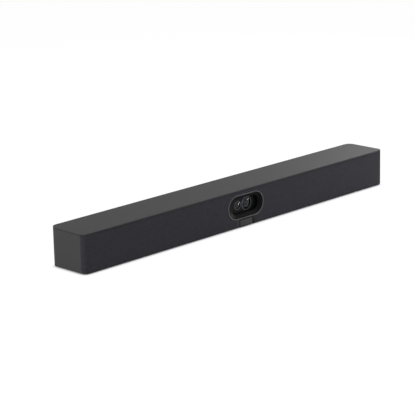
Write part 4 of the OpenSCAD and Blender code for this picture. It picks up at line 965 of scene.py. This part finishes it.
def floor_paper():
    paper = bpy.data.materials.new("studio_floor")
    paper.use_nodes = True
    tree = paper.node_tree
    tree.nodes.clear()
    matt = grow(tree, "ShaderNodeBsdfDiffuse", {"Color": PAPER})
    glow = grow(tree, "ShaderNodeEmission", {"Strength": GLOW_STRENGTH})
    open_sky = grow(tree, "ShaderNodeAmbientOcclusion", {"Distance": CONTACT}, out="AO",
                    samples=CONTACT_RAYS)
    near = grow(tree, "ShaderNodeMath", {0: seen_rays(tree), 1: open_sky}, operation="MULTIPLY")
    share = grow(tree, "ShaderNodeMath", {0: near, 1: FLOOR_GLOW}, operation="MULTIPLY")
    joined = grow(tree, "ShaderNodeMixShader", {0: share, 1: matt, 2: glow})
    tree.links.new(joined, tree.nodes.new("ShaderNodeOutputMaterial").inputs[0])
    return paper


floor_mesh = bpy.data.meshes.new("floor")
corners = [(x * FLOOR_HALF, y * FLOOR_HALF, 0) for x, y in ((-1, -1), (1, -1), (1, 1), (-1, 1))]
floor_mesh.from_pydata(corners, [], [(0, 1, 2, 3)])
floor_mesh.materials.append(floor_paper())
floor = bpy.data.objects.new("floor", floor_mesh)
SCENE.collection.objects.link(floor)
print("floor glow", FLOOR_GLOW)

# %% [markdown]
# The light that the surroundings give comes mostly from low down and fades towards the top, because
# the lamps already light the upper faces. The height of a ray is the Z of its direction.

# %% Surroundings
LOW_SKY, HIGH_SKY = 0.44, 0.0
world = bpy.data.worlds.new("studio")
SCENE.world = world
world.use_nodes = True
tree = world.node_tree
ray = grow(tree, "ShaderNodeTexCoord", out="Generated")
height = grow(tree, "ShaderNodeSeparateXYZ", {0: ray}, out="Z")
fading = grow(tree, "ShaderNodeMapRange", {"Value": height, "To Min": LOW_SKY, "To Max": HIGH_SKY})
level = grow(tree, "ShaderNodeMapRange", {"Value": seen_rays(tree), "To Min": fading, "To Max": 1.0})
sky = tree.nodes["Background"]
sky.inputs["Color"].default_value = WHITE
tree.links.new(level, sky.inputs["Strength"])
print("sky", LOW_SKY, "to", HIGH_SKY)

# %% [markdown]
# Four soft lamps light the bar. The main one stands behind the bar on the right, which is why the
# top is brighter towards that end. The front lamp is high up and fills the cloth. The low one, on
# the right near the floor, makes the glints in the lenses, and the left one lights the left end.

# %% Lamps
LAMPS = {  # name: place, side, watts
    "main_lamp": ((1.1, 0.35, 0.7), 0.6, 9),
    "front_lamp": ((0.6, -1.5, 1.5), 0.8, 9),
    "low_lamp": ((1.05, -0.42, 0.03), 0.24, 4.5),
    "left_lamp": ((-1.2, 0.0, 0.36), 0.35, 5.4),
}
AIM = Vector((0, 0, 0.03))


def soft_lamp(name, place, side, watts):
    data = bpy.data.lights.new(name, "AREA")
    data.shape, data.size, data.energy = "SQUARE", side, watts
    lamp = bpy.data.objects.new(name, data)
    SCENE.collection.objects.link(lamp)
    turned = (Vector(place) - AIM).to_track_quat("Z", "Y").to_matrix().to_4x4()
    lamp.matrix_world = Matrix.Translation(place) @ turned


for name, setting in LAMPS.items():
    soft_lamp(name, *setting)
SCENE.view_settings.view_transform = "Standard"
print("lamps", list(LAMPS))

# %% [markdown]
# ## Finish
# The view layer is brought up to date.

# %% Finish
bpy.context.view_layer.update()
